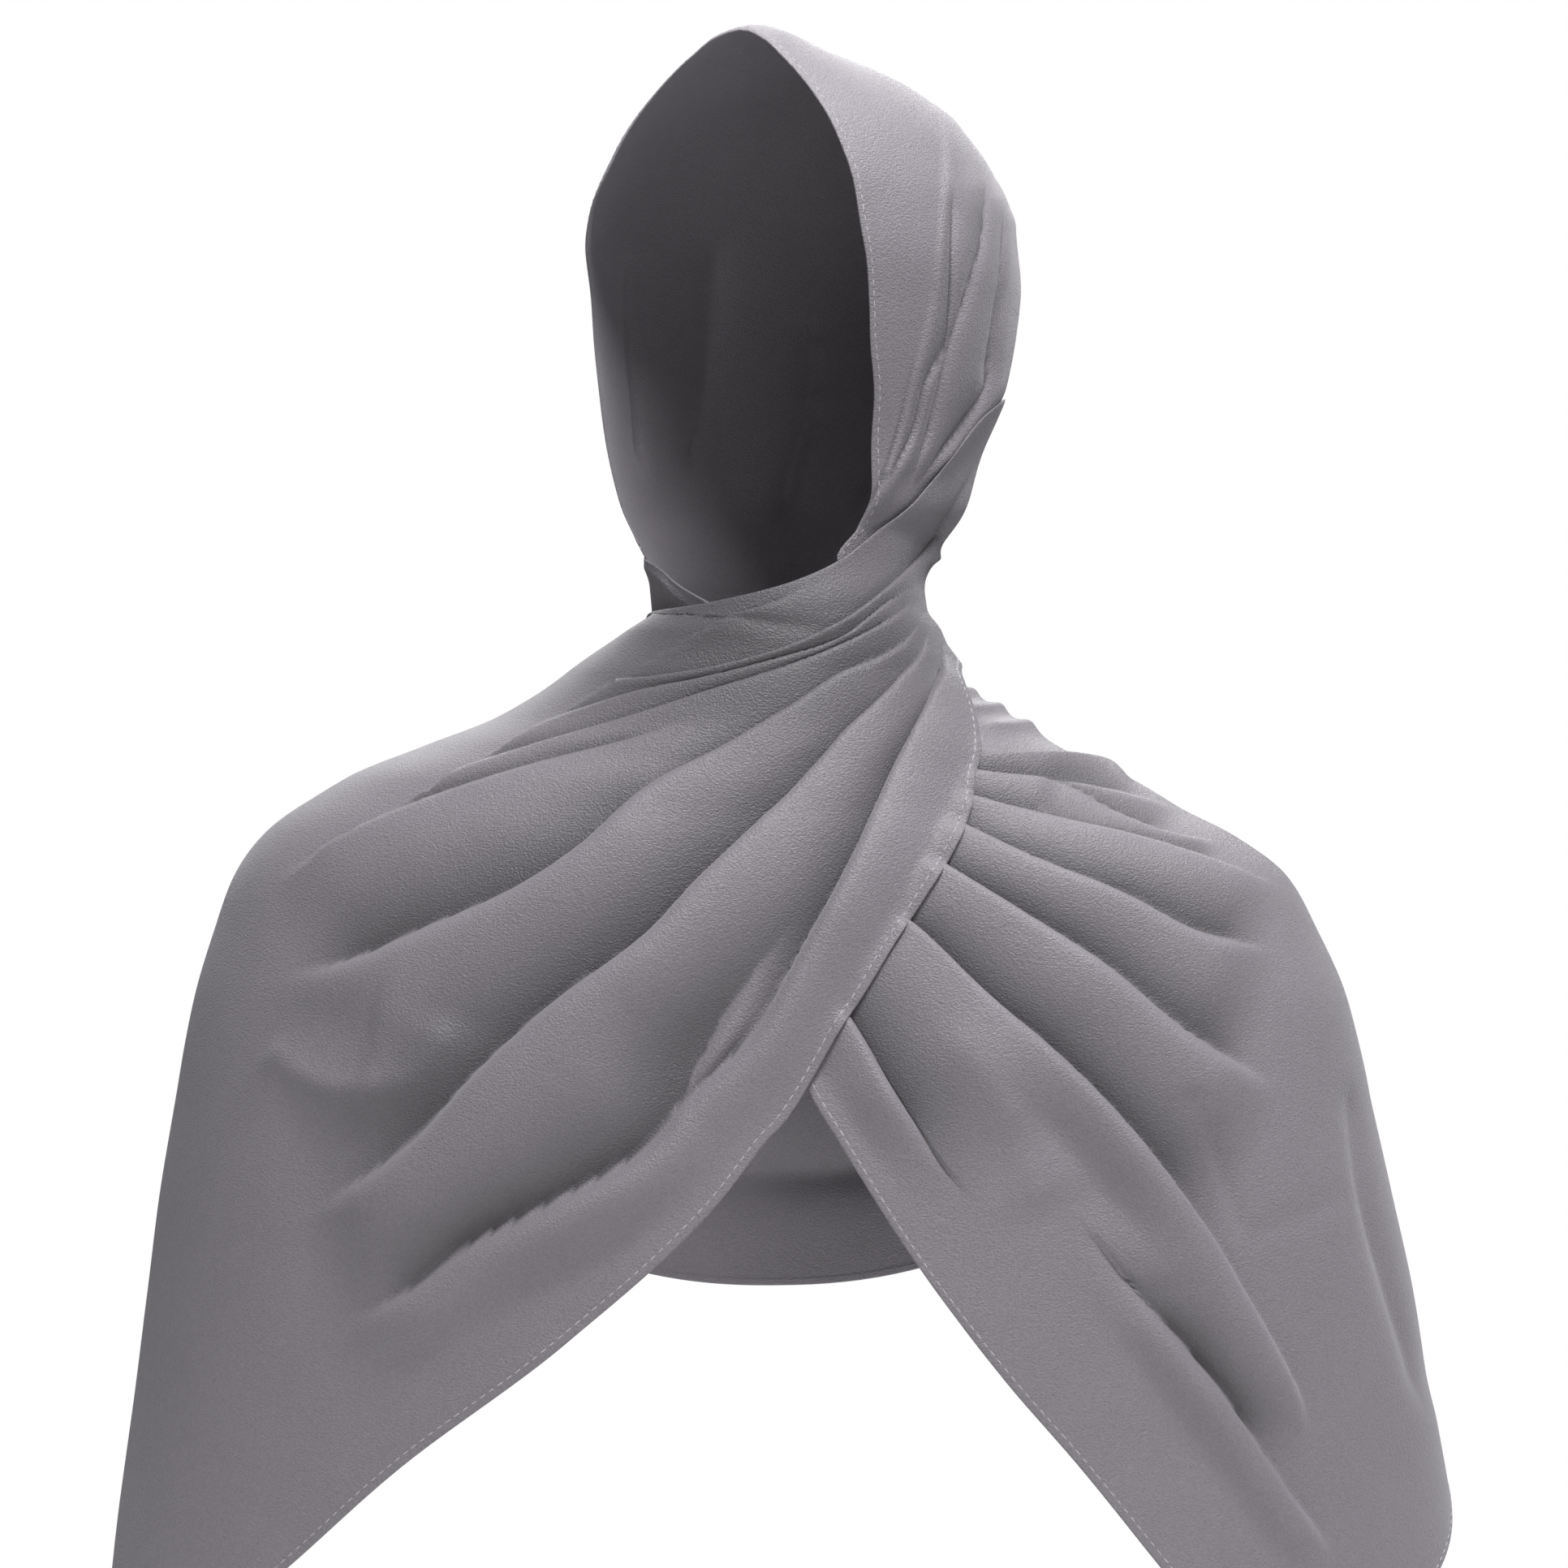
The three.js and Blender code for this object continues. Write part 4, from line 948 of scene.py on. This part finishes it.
UNDER_FOLDS = [
    fold([(70, -278), (82, -283), (109, -284), (127, -286), (149, -303)], (3, 4, 3), foot=(1.2, 4),
         over=(14, 14), lap=(2, 1, 0)),
    fold([(66, -290), (81, -295), (109, -298), (138, -303), (165, -310)], (3, 4, 3), foot=(1.2, 4),
         over=(14, 14), lap=(2, 1, 0)),
    fold([(105, -298), (115, -300), (138, -312), (161, -320), (180, -323)], (1, 3, 3), foot=(1.2, 4),
         over=(14, 14), lap=(0, 1, 0)),
    fold([(62, -300), (79, -306), (109, -314), (149, -323), (180, -332), (209, -343)], (3.5, 5, 4),
         foot=(1.2, 3.9), over=(18, 20), lap=(2.2, 1.2, 0)),
    fold([(55, -309), (74, -318), (102, -331), (141, -346), (172, -361), (203, -368)], (3.5, 7, 6),
         foot=(1.2, 5.5), over=(22, 22), lap=(2.4, 1.5, 0)),
    fold([(46, -322), (66, -334), (94, -351), (135, -377), (164, -400), (194, -418), (207, -424)],
         (4, 10, 8), foot=(1.5, 9.9), over=(26, 24), lap=(2.4, 2, 0)),
    fold([(34, -343), (52, -357), (82, -386), (109, -409), (129, -428), (147, -448), (175, -485), (189, -508),
          (203, -532), (215, -557), (220, -582)], (4, 12, 10), foot=(1.5, 11), over=(26, 26),
         lap=(2.4, 2.5, 1)),
    fold([(14, -380), (27, -396), (45, -426), (60, -448), (78, -472)], (3.5, 8, 4), foot=(2, 6.1),
         over=(24, 22), lap=(2, 1, 0), ends=(0.1, 0.5)),
    fold([(118, -474), (126, -484), (149, -512), (180, -550), (206, -588), (232, -623)], (2, 10, 8),
         foot=(6, 8.8), over=(22, 22), lap=(0, 1, 1), ends=(0.4, 0.16)),
]
UNDER_CREASES = [
    fold([(63, -400), (90, -430), (102, -460), (111, -478)], (1, 4, 2), foot=(10, 12), over=(12, 12),
         crest=(5, 5)),
    fold([(164, -423), (175, -445), (187, -478), (190, -490)], (-1.5, -3, -1.5), foot=(3, 3), over=(3, 3)),
    fold([(149, -509), (160, -506), (172, -503)], (-0.8, -1, -0.6), foot=(2, 2), over=(2, 2)),
    fold([(184, -491), (210, -478), (238, -466)], (-0.6, -1, -0.6), foot=(2, 2), over=(2, 2)),
    fold([(233, -419), (239, -463), (251, -508), (260, -538), (266, -563)], (-2.5, -4.5, -4), foot=(3, 4),
         over=(3, 4)),
]
BROAD = {"foot": (14, 14), "over": (14, 14), "crest": (5, 5)}
UNDER_HIDDEN_FOLDS = [
    fold([(98, -390), (101, -480), (103, -560), (104, -640)], (5, 9, 8), **BROAD),
    fold([(120, -360), (124, -460), (127, -560), (128, -620)], (4, 8, 7), foot=(13, 13), over=(13, 13),
         crest=(5, 5)),
    fold([(110, -370), (112, -470), (115, -560)], (1, 3, 2), foot=(6, 7), over=(6, 7), crest=(2, 3)),
    fold([(134, -385), (139, -450), (142, -520)], (1, 3.5, 2), foot=(7, 7), over=(7, 7), crest=(2, 3)),
]
front_hem_run = np.array(FRONT_HEM, float)


def inside_front_hem(point):
    """How far a point lies inside the front stretch's hem, as seen from the front."""
    x, z = seen_from_front(point)
    return -beside_run(x, z, front_hem_run)[0]


def under_sink(along, across, point):
    covered = smooth_step(inside_front_hem(point), -COVER_FADE / 2, COVER_FADE)
    tucked = (1 - smooth_step(across, *TOP_TUCK_ACROSS)) * (1 - smooth_step(along, *TOP_TUCK_ALONG))
    return -COVER_SINK * covered * smooth_step(-point[..., 1], 0, FRONT_ONLY) - TOP_TUCK * tucked


def under_folds(turn, point, normal):
    uncovered = 1 - smooth_step(inside_front_hem(point), 0, COVER_WIDTH)
    height, lean, depth = seen_folds(point, normal, UNDER_FOLDS, UNDER_CREASES, -1)
    height = uncovered * height + hidden_folds(turn, point, UNDER_HIDDEN_FOLDS)
    return height, uncovered[..., None] * lean, uncovered * depth


under_stretch, under_outer = make_cloth(
    "under_stretch", spread(UNDER_RUNGS), under_sink, under_folds, grid=(200, 200), hems=("end", "second"),
    patch_seed=6.4,
)
under_lines = [stitch_line(under_outer, "second"), end_stitch_line(under_outer)]
under_stitches = sew("under_stretch_stitches", under_lines, seed=13)


# The front stretch: the end that comes from the viewer's right cheek and passes under the chin on top of
# everything. Narrow laps at the neck open into long ridges over the chest and the viewer's left shoulder.
FRONT_RUNGS = [
    ((166, -229), (166, -236), (166, -243)),
    ((135, -190), (135, -216), (135, -246)),
    ((98, -136), (100, -186), (104, -244)),
    (("seen", 77, -144), (91, -196), (96, -247)),
    (("seen", 57, -172.7), (78, -213), (87, -253)),
    (("seen", 38, -190.5), ("seen", 50, -231), ("seen", 68, -263)),
    (("seen", 20, -207), ("seen", 36, -251), ("seen", 77.5, -285)),
    (("seen", 1, -217.3), ("seen", 20, -275), ("seen", 75, -314)),
    (("seen", -25, -223.6), ("seen", -5, -305), ("seen", 58, -347)),
    (("seen", -53, -231), ("seen", -42, -343), ("seen", 28, -394)),
    ((-108, -245), ("seen", -96, -391), ("seen", -28, -473)),
    ((-126, -285), ("seen", -148, -442), ("seen", -89, -529)),
    ((-138, -340), ("seen", -208, -482), ("seen", -156, -580)),
    ((-146, -410), (-84, -530), ("seen", -203, -622.6)),
    ((-152, -480), (-106, -575), ("seen", -240, -655)),
    ((-156, -545), (-122, -608), (-88, -687)),
]
FRONT_FOLDS = [
    fold([(67, -160), (49, -178), (33, -198), (20, -209), (3, -221.5), (-23, -230.7), (-35, -234.5),
          (-67, -245.5), (-92, -258)], (2.5, 3, 2), foot=(1, 2.5), over=(14, 14), lap=(2, 2, 1)),
    fold([(81, -160), (71, -179), (57, -201.7), (38.7, -221.5), (18.9, -235.6), (-3.7, -245.5),
          (-34.7, -253.2), (-53, -256), (-75.7, -258.2), (-102.5, -266.7), (-140, -281)], (3, 4, 3),
         foot=(1, 2.5), over=(13, 14), lap=(2.2, 2.2, 1)),
    fold([(60, -213), (49, -221), (38.7, -228.5), (24.6, -239.8), (-3.7, -249.7), (-34.7, -257.5),
          (-60, -262.4), (-102.5, -275.8), (-150, -292), (-183, -303)], (2.5, 3, 3), foot=(1, 3),
         over=(14, 14), lap=(2, 1.8, 1)),
    fold([(60, -218), (47, -230), (24.6, -243.5), (-3.7, -254.5), (-31.9, -263), (-60, -272), (-102.5, -284),
          (-150, -299), (-186, -312)], (2.5, 3.5, 3), foot=(1, 3), over=(14, 16), lap=(2, 1.8, 1)),
    fold([(-30, -272), (-60, -281), (-102.5, -292), (-141, -304), (-186, -320), (-215, -327)], (2, 4.5, 4),
         foot=(2, 4.4), over=(18, 20), lap=(1.5, 1, 0), ends=(0.25, 0.16)),
    fold([(58, -228), (52, -238), (39, -248), (22, -256), (1, -270), (-25, -286), (-57, -303), (-81, -324),
          (-111, -343), (-148, -359), (-186, -374), (-215, -378)], (4, 12, 10), foot=(1.2, 11),
         over=(30, 26), lap=(2.2, 2, 1)),
    fold([(60, -229), (56, -243), (44, -261), (26, -279), (1, -307), (-38, -343), (-56, -362), (-96, -391),
          (-126, -418), (-148, -442), (-166, -457), (-186, -469), (-208, -482)], (5, 18, 14),
         foot=(1.2, 15.4), over=(34, 30), lap=(2.4, 2.5, 1)),
    fold([(63, -239), (63, -252), (58, -269), (46, -292), (33, -321), (21, -344), (11, -361), (-2, -384),
          (-12, -401), (-39, -428), (-62, -448)], (6, 14, 9), foot=(1.2, 11), over=(34, 34),
         lap=(2.8, 2.5, 0)),
    fold([(11, -347), (-22, -391), (-56, -448), (-96, -472), (-126, -487), (-155, -508), (-193, -523)],
         (1, 14, 11), foot=(7.7, 14.3), over=(34, 30), lap=(0, 1, 1), ends=(0.3, 0.16)),
]
FRONT_CREASES = [
    fold([(-215, -405), (-197, -419), (-177, -426), (-155, -422), (-141, -407), (-135, -392)], (3, 6, 3),
         foot=(9, 9), over=(9, 9), crest=(3, 3)),
    fold([(-190, -392), (-178, -400), (-165, -404)], (-2, -3, -2), foot=(16, 16), over=(16, 16),
         crest=(8, 8)),
    fold([(-75, -520), (-141, -557), (-180, -581), (-206, -600), (-227, -617)], (0.7, 1, 0.7),
         foot=(1.6, 1.6), over=(2.5, 2.5), crest=(0.6, 0.6)),
]
FRONT_HIDDEN_FOLDS = [
    fold([(76, -207), (95, -203), (118, -200)], (1, 3, 2), foot=(2, 2), over=(2, 2), crest=(1, 1)),
    fold([(-98, -380), (-102, -480), (-104, -600), (-104, -690)], (5, 9, 8), **BROAD),
    fold([(-122, -350), (-126, -460), (-128, -570), (-128, -660)], (5, 9, 8), **BROAD),
    fold([(-140, -400), (-144, -500), (-146, -600)], (4, 7, 6), foot=(12, 12), over=(12, 12), crest=(5, 5)),
    fold([(-111, -400), (-114, -500), (-116, -620)], (1, 3, 2), foot=(6, 7), over=(6, 7), crest=(2, 3)),
    fold([(-132, -380), (-135, -470), (-137, -560)], (1, 3, 2), foot=(6, 7), over=(6, 7), crest=(2, 3)),
]
FRONT_TOP = [(90, -110), (77, -144), (57, -172.7), (38, -190.5), (20, -207), (10, -213)]
HOOD_FOLLOWED = (3, 24)
# Under the chin, where the laps lie tight, little light gets between them, and shade is painted there
PACKED_AT, PACKED_LONG, PACKED_REACH, PACKED_PAINTED_SHADE = (-25, -238), 2.6, 78, 0.75
front_top_run = np.array(FRONT_TOP, float)
FRONT_SETTLE = 2.6
FRONT_SETTLE_BAND = (0.30, 0.46)
BRIDGE, BRIDGE_HEIGHT, BRIDGE_REACH = 5.0, -237.0, 10.0
BRIDGE_SIDE, BRIDGE_FRONT = (-10, 25), (8, 38)
LAP_CLEARANCE = 0.9
LAP_SOFTNESS = 1.6
HEM_NEARBY = (-30, -5)


def front_folds(turn, point, normal):
    own, lean, depth = seen_folds(point, normal, FRONT_FOLDS, FRONT_CREASES, 1)
    x, z = seen_from_front(point)
    on_hood = 1 - smooth_step(beside_run(x, z, front_top_run)[0], *HOOD_FOLLOWED)
    hood_rise, hood_lean, hood_painted_shade = seen_folds(point, normal, HOOD_FOLDS, HOOD_CREASES, 1)
    own = own * (1 - on_hood) + hood_rise * on_hood + hidden_folds(turn, point, FRONT_HIDDEN_FOLDS)
    lean = lean * (1 - on_hood[..., None]) + hood_lean * on_hood[..., None]
    # The hood's painted shadow lines carry on where the front stretch lies over the hood
    depth = np.maximum(depth * (1 - on_hood), hood_painted_shade * on_hood)
    # Painted shade under the chin, darkest at its middle and fading out over its reach
    chin_painted_shade = 1 - smooth_step(np.hypot((x - PACKED_AT[0]) / PACKED_LONG, z - PACKED_AT[1]), 0, PACKED_REACH)
    depth = np.maximum(depth, PACKED_PAINTED_SHADE * chin_painted_shade)
    inside = inside_front_hem(point)
    bared = (1 - smooth_step(inside, 0, COVER_WIDTH)) * smooth_step(inside, *HEM_NEARBY)
    carried = bared * seen_folds(point, normal, UNDER_FOLDS, [], -1)[0] - (LAP_STEP - CLOTH - LAP_CLEARANCE)
    return (own + carried + np.sqrt((own - carried) ** 2 + LAP_SOFTNESS**2)) / 2, lean, depth


def front_settle(along, across, point):
    """Close to the cloth below beside the neck, and drawn taut across the hollow above the shoulder."""
    bridged = np.exp(-(((point[..., 2] - BRIDGE_HEIGHT) / BRIDGE_REACH) ** 2))
    bridged *= smooth_step(-point[..., 0], *BRIDGE_SIDE) * smooth_step(-point[..., 1], *BRIDGE_FRONT)
    return BRIDGE * bridged - FRONT_SETTLE * (1 - smooth_step(along, *FRONT_SETTLE_BAND))


front_stretch, front_outer = make_cloth(
    "front_stretch", spread(FRONT_RUNGS), front_settle, front_folds, grid=(248, 184), hems=("end", "second"),
    patch_seed=9.2,
)
front_lines = [stitch_line(front_outer, "second"), end_stitch_line(front_outer)]
front_stitches = sew("front_stretch_stitches", front_lines, seed=14)
